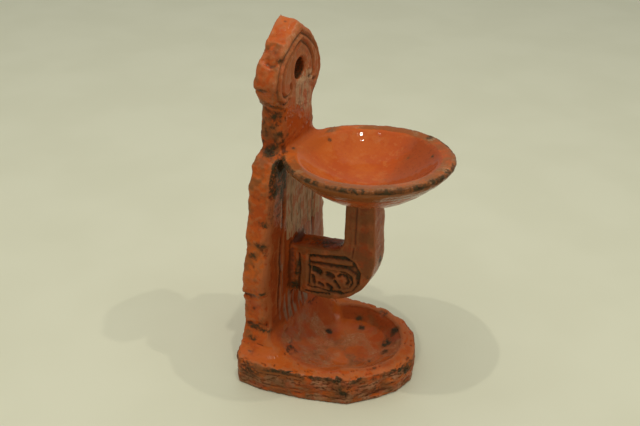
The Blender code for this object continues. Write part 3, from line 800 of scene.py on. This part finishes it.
# Where soot and oil stained the glaze, and where the dish's shadow is painted beside and under it, in
# millimetres: the place, its reach along each axis, its strength.
stains = (
    # The first three darken the crevice between the slab and the dish's left side: soot, and painted shadow
    # of the dish.
    ((-21.0, 42.0, 139.5), (8.0, 8.0, 6.0), 1.15), ((-21.0, 35.5, 130.0), (8.0, 6.0, 10.0), 1.40),
    ((-19.0, 35.0, 118.0), (6.0, 4.0, 13.0), 1.05), ((-18.6, 41.0, 150.0), (5.0, 4.0, 5.0), 0.5),
    ((-33.6, 39.7, 100.8), (5.0, 4.5, 3.5), 0.8), ((-36.0, 40.0, 88.5), (5.0, 6.0, 4.0), 0.85),
    ((-36.4, 45.5, 81.0), (5.0, 4.5, 3.5), 0.8), ((-35.3, 37.0, 83.6), (5.0, 4.0, 3.0), 0.8),
    ((-38.0, 45.0, 56.0), (5.0, 7.5, 1.7), 1.1), ((-38.0, 38.0, 58.4), (5.0, 4.0, 1.5), 1.0),
    ((-37.5, 44.0, 33.0), (6.5, 8.0, 3.0), 1.3), ((-36.0, 37.0, 31.5), (6.0, 6.0, 2.2), 1.2),
    ((-40.0, 44.0, 26.5), (4.0, 5.0, 3.0), 0.8),
    ((-16.4, 42.9, 193.0), (5.0, 7.0, 4.0), 0.40), ((-18.6, 38.2, 189.6), (4.0, 3.4, 2.6), 0.80),
    ((-21.5, 41.0, 165.0), (6.0, 6.0, 4.0), 0.75), ((-18.4, 42.0, 158.5), (5.0, 6.0, 5.0), 0.6),
    ((-26.2, 43.7, 175.5), (4.0, 7.0, 1.8), 0.75),
    ((-8.6, 32.5, 49.0), (4.4, 5.0, 5.6), 1.30), ((-7.6, 31.5, 60.0), (1.8, 3.0, 11.0), 0.8),
    ((1.9, -16.3, 76.0), (4.0, 4.0, 7.0), 0.95), ((-7.0, -13.7, 69.6), (4.0, 3.5, 5.0), 0.85),
    # These two darken the crook and the top of the bar under the dish: soot, and painted shadow of the dish.
    ((-2.0, 3.0, 85.0), (9.0, 7.0, 7.0), 0.45), ((-1.0, 17.0, 78.5), (9.0, 20.0, 4.0), 0.62),
    ((9.0, 16.8, 9.2), (3.0, 3.0, 5.0), 1.35), ((26.7, 4.5, 11.9), (3.2, 3.0, 5.0), 1.35),
    ((22.0, 0.0, 9.5), (3.2, 3.2, 4.0), 1.2), ((20.9, -22.0, 14.6), (6.0, 4.0, 5.0), 1.3),
    ((13.5, -20.3, 11.2), (7.0, 5.0, 4.0), 1.1), ((4.6, -22.3, 11.0), (4.0, 4.0, 4.0), 0.85),
    ((-5.5, -17.6, 9.6), (4.0, 3.0, 4.0), 0.6), ((-20.5, -26.0, 17.6), (4.0, 2.0, 2.0), 0.75),
    ((-50.4, 40.0, 11.6), (4.0, 10.0, 7.0), 0.85), ((-38.8, -15.0, 9.0), (5.0, 7.0, 8.0), 0.85),
    ((-23.8, -31.0, 6.5), (5.0, 6.0, 3.0), 0.7), ((-6.0, -41.2, 13.5), (7.0, 5.0, 5.0), 1.2),
    ((22.0, -34.6, 14.0), (6.0, 5.0, 3.0), 0.8), ((33.6, -9.7, 17.0), (4.0, 4.0, 3.0), 1.1),
    ((16.0, 24.9, 136.0), (1.9, 1.9, 3.0), 1.1), ((18.7, -35.5, 138.8), (1.6, 1.6, 2.0), 1.2),
    ((23.0, -20.5, 132.7), (1.4, 1.4, 2.0), 1.0), ((-13.7, 36.0, 148.0), (1.8, 2.4, 1.6), 1.1),
    ((-10.7, 35.0, 138.8), (3.0, 2.6, 1.6), 1.1),
    ((-16.7, -47.7, 142.0), (5.0, 3.6, 3.0), 0.9), ((-2.9, -50.2, 142.0), (5.0, 3.4, 3.0), 0.9),
    ((36.7, -27.4, 141.0), (5.0, 4.0, 3.0), 0.85), ((20.0, 44.0, 60.0), (20.0, 12.0, 9.0), 0.5),
    ((10.0, 52.0, 120.0), (14.0, 4.0, 9.0), 0.75), ((-14.0, 52.0, 46.0), (11.0, 4.0, 7.0), 0.75),
)


def paint(name, layers):
    """Keeps the strongest of some layers at each place, as a number from 0 to 1 that the glaze reads."""
    values = np.clip(np.maximum.reduce(layers), 0.0, 1.0)
    kept_layer = lamp.data.attributes.new(name, "FLOAT", "POINT")
    kept_layer.data.foreach_set("value", values.astype(np.float32))


def between(values, low, high, soft):
    """1 between two limits, easing to 0 over a soft distance outside them."""
    return ease((values - low) / soft + 1.0) * ease((high - values) / soft + 1.0)


hollow = hollowness(7) / mm
wide_hollow = hollowness(40) / mm
spots, outward = places() / mm, directions()
x, y, z = spots.T
from_dish_axis = np.hypot(x, (y * mm - dish_centre_y) / dish_oval / mm)
in_bowl = (from_dish_axis < 43.0) * (z > 122.0) * (y < 36.0) * (outward[:, 2] > 0.0)
in_recess = (from_recess < recess_radius + mm) * (z < 16.0) * (outward[:, 2] > 0.5)
neck_joint = near(spots, (22.0, 37.0, 139.0), (34.0, 12.0, 14.0))
neck_joint = neck_joint + near(spots, (0.0, 34.0, 142.0), (16.0, 10.0, 8.0))
on_ramp = (z < 34.0) * (outward[:, 2] > 0.35)
kept_dark = np.clip(1.0 - 0.85 * in_bowl - 0.75 * in_recess - 1.6 * neck_joint - 0.5 * on_ramp, 0.0, 1.0)
sunk = 2.2 * hollow + 0.35 * wide_hollow
paint("hollow", [0.5 + kept_dark * sunk])
paint("calm", [in_bowl + 0.6 * in_recess])
ragged = wander(spots, 4.0, 41.0) + 0.6 * wander(spots, 1.5, 42.0)
torn = wander(spots, 2.6, 53.0, (1.0, 2.2, 1.0)) + 0.7 * wander(spots, 1.2, 54.0)
# Soot lies in the stains, under the dish's lip, along the tray's rim, in the panel and the neck. The inside
# of the hanging hole is painted shade, and the slab's margin below the dish carries painted shadow of the
# dish with its soot.
halo_spread = 1.9
stained = np.zeros(len(spots))
halo = np.zeros(len(spots))
for centre, reach, strength in stains:
    stained = np.maximum(stained, near(spots, centre, reach) * strength)
    wide_reach = tuple(halo_spread * side for side in reach)
    halo = np.maximum(halo, near(spots, centre, wide_reach) * min(strength, 1.0))
rim_here = dish_rim_z / mm - x * math.sin(dish_lean) - (y - dish_centre_y / mm) * math.sin(dish_tip)
below_lip = rim_here - z
lip_band = between(from_dish_axis, 43.8, 60.0, 0.7) * between(below_lip, 0.5, 2.4, 0.8) * (y < 34.0)
near_side = ease((-x + 12.0) / 22.0)
lip_soot = lip_band * (0.38 + 0.34 * near_side + 0.6 * wander(spots, 9.0, 55.0) + 0.4 * torn)
below_rim = rim_height(x * mm) / mm - z
on_rim_edge = ease((from_recess / mm - recess_radius / mm - 2.5) / 1.5) * ease((0.93 - outward[:, 2]) / 0.1)
tray_edge_soot = on_rim_edge * between(below_rim, -1.0, 2.6, 1.2) * (
    0.42 + 0.55 * wander(spots, 8.0, 43.0) + 0.45 * ragged - 0.16 * ease((x + 12.0) / 20.0))
in_panel = (np.abs(x) < 10.0) * between(y, -8.0, 30.0, 1.5) * between(z, 47.0, 78.0, 2.0)
panel_soot = in_panel * ease((sunk + 0.02) / 0.34) * (0.74 + 0.7 * torn)
# Painted shade inside the hanging hole.
hole_shade = (np.hypot(x, z - hole_z / mm) < 6.6) * ease((y - 36.6) / 1.6)
on_flank = (np.abs(x) > 15.0) * (y > 35.0) * (z > 22.0)
neck_soot = on_flank * between(z, 144.0, 164.0, 6.0) * (y < 52.0) * (
    0.26 + 0.9 * wander(spots, 3.6, 64.0) + 0.5 * wander(spots, 1.6, 65.0))
# The slab's left margin below the dish is darkened: soot, and painted shadow of the dish.
margin_soot_and_shadow = between(y, 34.0, 37.5, 0.8) * between(x, -40.0, -15.5, 1.6) * (
    0.26 * between(z, 104.0, 134.0, 7.0) + 0.66 * between(z, 121.0, 134.0, 9.0)) * (1.0 + 0.9 * torn)
paint("soot_and_shade", [
    stained * (1.0 + 0.9 * torn), lip_soot, 1.1 * tray_edge_soot, panel_soot, 0.62 * hole_shade, neck_soot,
    margin_soot_and_shadow,
])

# Handling rubbed the glaze dull on the head, the slab's middle, the post, the recess and the dish's rim.
faces_front = ease((-outward[:, 1] - 0.25) / 0.4) * ease((y - 33.0) / 2.0)
brush_edge_z = np.interp(x, (-22.0, -11.0, -3.0, 4.0, 8.0, 13.0), (167.0, 162.0, 160.0, 156.0, 150.0, 144.0))
brushed = 4.8 * wander(spots, 1.3, 44.0, (1.0, 1.0, 9.0))
head_rub = faces_front * ease((z - brush_edge_z - brushed) / 1.6)
middle_rub = faces_front * between(x, -13.0, 27.0, 2.0) * between(z + 0.5 * brushed, 84.0, 133.0, 5.0)
ramp_haze = between(x, -30.0, 9.0, 8.0) * between(z, 9.0, 24.0, 5.0) * between(y, 4.0, 34.0, 8.0) * (
    0.40 + 0.8 * wander(spots, 9.0, 63.0))
post_front_rub = ease((-outward[:, 1] - 0.35) / 0.3) * between(y, -20.0, -9.0, 2.0)
post_front_rub = post_front_rub * between(z, 55.0, 112.0, 6.0)
crook_rub = near(spots, (7.5, 33.0, 75.0), (4.5, 6.0, 3.0))
# Less rubbing on the right of the recess keeps it dark there, with the painted shadow of the dish.
recess_rub = (from_recess < recess_radius) * (z < 17.0) * (
    0.46 - 0.3 * ease((x - 10.0) / 14.0) + 0.5 * wander(spots, 8.0, 66.0))
flank_rub = 0.38 * on_flank * (z > 166.0)
# The tray's side is painted paler towards its right end.
tray_side_paler_right = on_rim_edge * (below_rim > 0.8) * ease((x + 2.0) / 14.0)
tray_side_paler_right = tray_side_paler_right * (0.55 + 0.5 * wander(spots, 5.0, 67.0))
rim_rub = between(from_dish_axis, 38.0, 46.0, 1.2) * (z > 136.0) * (y < 28.0)
rim_rub = rim_rub * ease((outward[:, 2] - 0.3) / 0.4) * (0.30 + 0.5 * wander(spots, 6.0, 52.0))
lip_chips = np.zeros(len(spots))
for place in ((-16.8, -47.3, 143.4), (-3.4, -50.4, 143.2), (35.2, -28.6, 141.6)):
    lip_chips = np.maximum(lip_chips, near(spots, place, (4.6, 3.0, 3.4)) * (1.0 + 1.2 * torn))
paint("rubbed", [
    head_rub, 0.95 * middle_rub, 0.35 * post_front_rub, crook_rub, rim_rub, 1.2 * lip_chips, ramp_haze,
    recess_rub, flank_rub, tray_side_paler_right,
])
pale_strip = faces_front * between(x, -3.0, 12.0, 3.0) * between(z, 158.0, 176.0, 4.0)
brush_marks = 1.0 + 0.9 * wander(spots, 3.2, 56.0, (1.0, 1.0, 8.0))
paint("chalky", [
    0.7 * pale_strip, 0.8 * middle_rub * brush_marks, 0.45 * rim_rub, 1.5 * lip_chips, 0.12 * ramp_haze,
    0.6 * tray_side_paler_right,
])

# A thin brown film of grime lies round the stains and over the sides. On the dish's flank and the arm's sides
# it is also painted shade under the dish.
recess_film = (from_recess < recess_radius) * (z < 17.0) * (0.12 + 0.7 * wander(spots, 13.0, 46.0))
side_film = on_rim_edge * (below_rim > 0.5) * (
    0.22 + 0.8 * wander(spots, 9.0, 49.0) + 0.25 * ease((-x - 20.0) / 20.0) - 0.25 * ease((x - 2.0) / 16.0))
sooted_height = 0.32 * between(z, 134.0, 166.0, 6.0) + 0.16 * between(z, 78.0, 128.0, 8.0)
edge_film = on_flank * (1.0 - 0.85 * faces_front) * (
    0.12 + sooted_height + 0.8 * wander(spots, 8.0, 50.0) + 0.5 * wander(spots, 3.0, 57.0))
near_rim = ease((-x - 8.0) / 20.0)
rim_film = between(from_dish_axis, 38.5, 47.0, 1.4) * (z > 134.0) * (y < 30.0) * (
    0.40 + 0.7 * wander(spots, 9.0, 51.0) + 0.35 * near_rim + 0.36 * ease((x + y * -0.6) / 40.0))
# The dish's outer flank below the lip is darker: grime, and painted shade on the flank, which faces down and
# out.
flank_grime_and_shade = between(from_dish_axis, 37.0, 48.0, 2.5) * between(below_lip, 1.5, 9.0, 2.5) * (y < 34.0) * (
    (outward[:, 2] < 0.4) * (0.36 + 0.6 * near_side + 0.6 * wander(spots, 6.0, 59.0)))
# The arm's sides are darker: grime, and painted shade of the dish above them.
arm_grime_and_shade = (np.abs(x) < 10.0) * between(y, -18.0, 31.0, 2.0) * between(z, 44.0, 116.0, 3.0) * ease(
    (np.abs(outward[:, 0]) - 0.3) / 0.4) * (0.56 + 0.5 * wander(spots, 7.0, 61.0))
panel_film = in_panel * ease((sunk + 0.14) / 0.34) * (1.30 + 0.6 * wander(spots, 4.0, 62.0))
paint("grime_and_shade", [
    0.6 * halo, recess_film, side_film, edge_film, rim_film, flank_grime_and_shade, 0.75 * lip_band,
    arm_grime_and_shade, panel_film,
])

# Pale drips run down the slab under the arm, and the foot of its edges is greyed.
drip_zone = faces_front * between(x, -15.0, 12.0, 4.0) * between(z, 22.0, 44.0, 5.0)
drip_lines = 0.85 * ease((wander(spots, 1.8, 45.0, (1.0, 9.0, 10.0)) + 0.30) / 0.62)
drip_haze = between(x, -24.0, 9.0, 8.0) * between(z, 11.0, 26.0, 5.0) * between(y, 20.0, 35.0, 7.0) * (
    0.42 + 0.7 * wander(spots, 7.0, 58.0))
edge_grey = faces_front * between(np.abs(x), 17.0, 23.0, 2.5) * between(z, 32.0, 78.0, 6.0) * ease(
    (wander(spots, 2.0, 47.0, (1.0, 1.0, 12.0)) - 0.02) / 0.25)
paint("drips", [drip_zone * drip_lines, 0.45 * drip_haze, 0.5 * edge_grey])

# The glaze ran thick low on the slab, on the arm, under the dish and in the hollows of the head; under the
# dish the deep red is also painted shade. The bowl's far side and the hanging hole get it as painted shade,
# and the recess's far wall as painted shadow of the dish.
beside_bar = between(z, 44.0, 78.0, 6.0) * (np.abs(x) < 14.0)
slab_front_low = faces_front * (between(z, 30.0, 128.0, 8.0) - 0.4 * beside_bar)
arm_zone = (np.abs(x) < 12.0) * between(y, -20.0, 33.0, 3.0) * between(z, 40.0, 120.0, 5.0) * (
    1.0 - 0.6 * ease((y - 20.0) / 6.0))
# Painted shade on the dish's underside, which faces down, together with its thick glaze.
under_dish = between(from_dish_axis, 0.0, 43.0, 1.0) * ease((-outward[:, 2] - 0.2) / 0.3) * (z > 112.0)
# Painted shade: the bowl is darker towards its -Y side.
bowl_far_side_shade = (from_dish_axis < 38.0) * (z > 124.0) * ease((-y - 4.0) / 26.0) * 1.05
# Painted shadow of the dish on the recess's far wall.
recess_wall_shadow = between(from_recess / mm, 25.0, 31.5, 2.5) * (z < 17.5) * walled * ease((x - 4.0) / 14.0)
low_neck = between(z, 134.0, 160.0, 4.0) * (y > 33.0)
head_hollow = near(spots, (-17.0, 42.5, 192.0), (9.0, 9.0, 5.0))
paint("thick_glaze_and_shade", [
    0.74 * slab_front_low, 0.8 * arm_zone, 0.6 * under_dish, bowl_far_side_shade, recess_wall_shadow, 0.38 * low_neck,
    hole_shade, head_hollow,
])

# The clay is bare on the knife-cut side of the tray, on the underside and in places on the back.
side_of_tray = (z < 17.0) * (from_recess > recess_radius + 2.0 * mm) * ease((0.7 - outward[:, 2]) / 0.25)
underside = ease((1.2 - z) / 0.8)
back_bare = ease((outward[:, 1] - 0.6) / 0.3) * (y > 45.0) * ease((wander(spots, 26.0, 48.0) + 0.15) / 0.3)
side_bare = side_of_tray * (0.56 - 0.12 * ease(x / 16.0) + 0.8 * wander(spots, 6.0, 60.0, (1.6, 1.6, 1.0)))
paint("bare", [side_bare, underside, 0.55 * back_bare])


class Socket:
    """An output in a material's node tree; arithmetic on it adds Math nodes to the tree."""

    def __init__(self, tree, output=None):
        self.tree = tree
        self.output = output

    def node(self, kind, settings, inputs, output=0):
        """Adds a node, its settings set before its sockets' values or links; gives one of its outputs."""
        made = self.tree.nodes.new(kind)
        for name, value in settings.items():
            setattr(made, name, value)
        for name, value in inputs.items():
            if isinstance(value, Socket):
                self.tree.links.new(value.output, made.inputs[name])
            else:
                made.inputs[name].default_value = value
        return Socket(self.tree, made.outputs[output])

    def maths(self, operation, first, second):
        return self.node("ShaderNodeMath", {"operation": operation}, {0: first, 1: second})

    def __add__(self, other):
        return self.maths("ADD", self, other)

    def __mul__(self, other):
        return self.maths("MULTIPLY", self, other)

    def __sub__(self, other):
        return self.maths("SUBTRACT", self, other)

    def __rsub__(self, other):
        return self.maths("SUBTRACT", other, self)

    __radd__ = __add__
    __rmul__ = __mul__


def new_material(name, colour):
    """A material with only its shader; gives it, its shader node and a start for its node maths."""
    material = bpy.data.materials.new(name)
    material.use_nodes = True
    material.diffuse_color = colour
    tree = material.node_tree
    return material, tree.nodes["Principled BSDF"], Socket(tree)


def grain(start, size, detail, stretch=(1.0, 1.0, 1.0), shift=0.0):
    """Cloudy noise from 0 to 1 in lumps of a size, which may be stretched along an axis."""
    where = start.node("ShaderNodeTexCoord", {}, {}, "Object")
    scale = tuple(1.0 / (size * share) for share in stretch)
    placed = start.node("ShaderNodeMapping", {}, {"Vector": where, "Location": (shift,) * 3, "Scale": scale})
    return start.node("ShaderNodeTexNoise", {}, {"Vector": placed, "Scale": 1.0, "Detail": detail}, "Fac")


def step_up(value, low, high):
    """A soft step from 0 at the low limit to 1 at the high one."""
    return value.node(
        "ShaderNodeMapRange", {"interpolation_type": "SMOOTHSTEP"},
        {"Value": value, "From Min": low, "From Max": high},
    )


def blend(mask, under, over):
    """One colour laid over another by a mask."""
    return mask.node(
        "ShaderNodeMix", {"data_type": "RGBA"}, {0: mask, 6: under, 7: over}, 2,
    )


def painted(start, name):
    """The numbers painted on the surface under a name."""
    return start.node("ShaderNodeAttribute", {"attribute_name": name}, {}, "Fac")


def grey(value):
    """A number as a colour, so that it can be blended like one."""
    return (value,) * 3 + (1.0,)


glaze, shader, start = new_material("amber_lead_glaze", amber)
cloud = grain(start, 22.0 * mm, 3.0)
mottle = grain(start, 5.0 * mm, 4.0, shift=3.1)
fleck = grain(start, 1.7 * mm, 3.0, shift=7.7)
streak = grain(start, 1.5 * mm, 3.0, (1.0, 1.0, 9.0), 5.3)
dust = grain(start, 0.7 * mm, 2.0, shift=9.2)
knife = grain(start, 1.5 * mm, 4.0, (2.4, 2.4, 1.0), 2.6)
hollow, thick_glaze_and_shade, rubbed, chalky, calm, drips, soot_and_shade, grime_and_shade, bare = (
    painted(start, name)
    for name in ("hollow", "thick_glaze_and_shade", "rubbed", "chalky", "calm", "drips", "soot_and_shade", "grime_and_shade", "bare")
)
deep = step_up(hollow, 0.57, 1.02)
proud = step_up(0.5 - hollow + mottle * 0.30, 0.20, 0.42)

rub = step_up(rubbed + mottle * 0.6 - 0.3, 0.30, 0.62)
rubbed_colour = blend(step_up(chalky + streak * 2.4 - 1.05, 0.10, 0.62), rubbed_tan, rubbed_pale)
rubbed_colour = blend(step_up(mottle + streak * 1.4 - 0.7, 0.52, 0.66) * 0.7, rubbed_colour, amber_red)
rubbed_colour = blend(step_up(1.0 - streak, 0.54, 0.64) * (chalky * 0.6 + 0.2), rubbed_colour, grime_brown)
dripped = step_up(drips + fleck * 0.4 + streak * 0.5 - 0.45, 0.16, 0.80)
clay = step_up(bare + mottle * 0.7 - 0.35, 0.40, 0.62)
clay_colour = blend(step_up(mottle, 0.40, 0.62), bare_clay, bare_clay_pale)
clay_colour = blend(step_up(knife + fleck * 0.6 - 0.3, 0.34, 0.50), smudge_brown, clay_colour)
freckle = step_up(dust, 0.69, 0.73) * step_up(mottle, 0.40, 0.60)
# The soot mask below also carries painted shade in the hanging hole and painted shadow of the dish on the
# slab below it.
soot = soot_and_shade * (mottle * 3.0 + fleck * 3.0 + dust * 1.6 - 2.8)
smudged, sooty = step_up(soot, 0.10, 0.66), step_up(soot, 0.60, 1.00)
colour = amber
# Each coat is a mask and a colour, laid over the coats before it.
for mask, over in (
    (step_up(cloud + fleck * 0.3 - 0.15, 0.38, 0.64), amber_red),
    (step_up(mottle + fleck * 0.5 - 0.25, 0.50, 0.68) * 0.40, amber_pale),
    # Deep red where the glaze runs thick, and as painted shade under the dish, on the bowl's far side and in
    # the hanging hole, and painted shadow of the dish on the recess's far wall.
    (step_up(thick_glaze_and_shade + mottle * 0.5 - 0.25, 0.15, 0.85) * 0.85, deep_red),
    (step_up(streak, 0.52, 0.68) * thick_glaze_and_shade * 0.3, pooled_dark),
    (proud * 0.55, rubbed_tan),
    (rub * 0.9, rubbed_colour),
    (dripped * 0.74, blend(mottle, drip_grey, drip_green)),
    (clay * 0.75, clay_colour),
    # Grime, and painted shade on the dish's flank and the arm's sides.
    (step_up(grime_and_shade + mottle * 0.9 + fleck * 0.5 - 0.7, 0.12, 0.70) * 0.62, grime_brown),
    (deep * (0.85 - rub * 0.25), blend(rub, pooled_dark, groove_grey)),
    (freckle * 0.7, pooled_dark),
    (smudged * 0.70, smudge_brown),
    (sooty * 0.86, blend(step_up(fleck, 0.40, 0.58), soot_black, olive)),
):
    colour = blend(mask, colour, over)
start.tree.links.new(colour.output, shader.inputs["Base Color"])

dull = blend(rub, grey(gloss_roughness), grey(rubbed_roughness))
dull = blend(clay, dull, grey(bare_roughness))
dull = blend(smudged * 0.7, dull, grey(smudged_roughness))
roughness = dull.node("ShaderNodeSeparateColor", {}, {"Color": dull}) + mottle * 0.14 - 0.06 - calm * 0.04
start.tree.links.new(roughness.output, shader.inputs["Roughness"])
relief = mottle * 0.8 + fleck * (0.60 + clay * 0.2 + sooty * 0.3) + dust * 0.24 - freckle * 0.35
relief = relief * (1.0 - calm * 0.86) + streak * (rub * 0.5) + knife * (clay * 1.1)
bump = start.node("ShaderNodeBump", {}, {"Height": relief, "Strength": 0.7, "Distance": 0.46 * mm}, "Normal")
start.tree.links.new(bump.output, shader.inputs["Normal"])
shader.inputs["IOR"].default_value = glaze_ior
shader.inputs["Specular IOR Level"].default_value = glaze_mirror
shader.inputs["Metallic"].default_value = 0.0
lamp.data.materials.clear()
lamp.data.materials.append(glaze)
let_go()
lamp.select_set(True)
bpy.context.view_layer.objects.active = lamp
bpy.ops.object.shade_smooth()

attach(lamp, "root")
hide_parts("lamp")

# The floor, light and camera are not part of the lamp: a plain pale table, soft light from overhead with
# three small lamps in it, and the photograph's view from the front left, a little above.
floor_size, floor_roughness = 6.0, 0.42
floor_pale, floor_shade = (0.64, 0.63, 0.48, 1.0), (0.62, 0.61, 0.46, 1.0)
let_go()
bpy.ops.mesh.primitive_plane_add(size=floor_size, location=(0.0, 0.0, 0.0))
floor = bpy.context.object
floor.name = "floor"
tabletop, shader, start = new_material("pale_tabletop", floor_pale)
tone = blend(step_up(grain(start, 90.0 * mm, 2.0), 0.35, 0.65), floor_pale, floor_shade)
start.tree.links.new(tone.output, shader.inputs["Base Color"])
shader.inputs["Roughness"].default_value = floor_roughness
floor.data.materials.append(tabletop)

camera_azimuth = math.radians(-64.36)
camera_elevation = math.radians(29.18)
camera_roll = math.radians(1.97)
camera_distance = 389.1 * mm
camera_target = Vector((-53.63, -4.0, 130.60)) * mm
toward_camera = Vector((
    math.sin(camera_azimuth) * math.cos(camera_elevation),
    -math.cos(camera_azimuth) * math.cos(camera_elevation),
    math.sin(camera_elevation),
))
right = (-toward_camera).cross(Vector((0.0, 0.0, 1.0))).normalized()
up = right.cross(-toward_camera)
rolled_right = math.cos(camera_roll) * right + math.sin(camera_roll) * up
rolled_up = math.cos(camera_roll) * up - math.sin(camera_roll) * right
camera = bpy.data.objects.new("camera", bpy.data.cameras.new("camera"))
bpy.context.scene.collection.objects.link(camera)
camera.data.lens = 45.0
camera.data.sensor_width = 36.0
camera.data.clip_start = 0.01
camera.matrix_world = Matrix.Translation(camera_target + camera_distance * toward_camera) @ Matrix(
    (rolled_right, rolled_up, toward_camera)
).transposed().to_4x4()
bpy.context.scene.camera = camera

room_colour, room_strength = (0.80, 0.82, 0.74, 1.0), 0.46
world = bpy.data.worlds.new("room")
world.use_nodes = True
room_light = world.node_tree.nodes["Background"]
room_light.inputs["Color"].default_value = room_colour
room_light.inputs["Strength"].default_value = room_strength
bpy.context.scene.world = world


def add_light(name, place, aim, size, power, colour):
    """Adds a square soft light that faces a point."""
    data = bpy.data.lights.new(name, "AREA")
    data.size = size
    data.energy = power
    data.color = colour
    light = bpy.data.objects.new(name, data)
    light.location = place
    light.rotation_mode = "QUATERNION"
    light.rotation_quaternion = (Vector(aim) - Vector(place)).to_track_quat("-Z", "Y")
    bpy.context.scene.collection.objects.link(light)


soft_white, lamp_white = (1.0, 0.98, 0.93), (1.0, 0.96, 0.88)
ceiling_size, ceiling_power = 2.2, 12.6
small_lamp_size, small_lamp_power, small_lamp_height = 0.02, 2.0, 1.25
add_light("ceiling", (-0.10, 0.10, 1.60), (0.0, 0.0, 0.1), ceiling_size, ceiling_power, soft_white)
for number, (lamp_x, lamp_y) in enumerate(((0.14, -0.52), (-0.13, -0.15), (-0.30, 0.20))):
    add_light(
        "small_lamp_%d" % number, (lamp_x, lamp_y, small_lamp_height), (0.0, 0.0, 0.12),
        small_lamp_size, small_lamp_power, lamp_white,
    )
bpy.context.scene.view_settings.view_transform = "Standard"
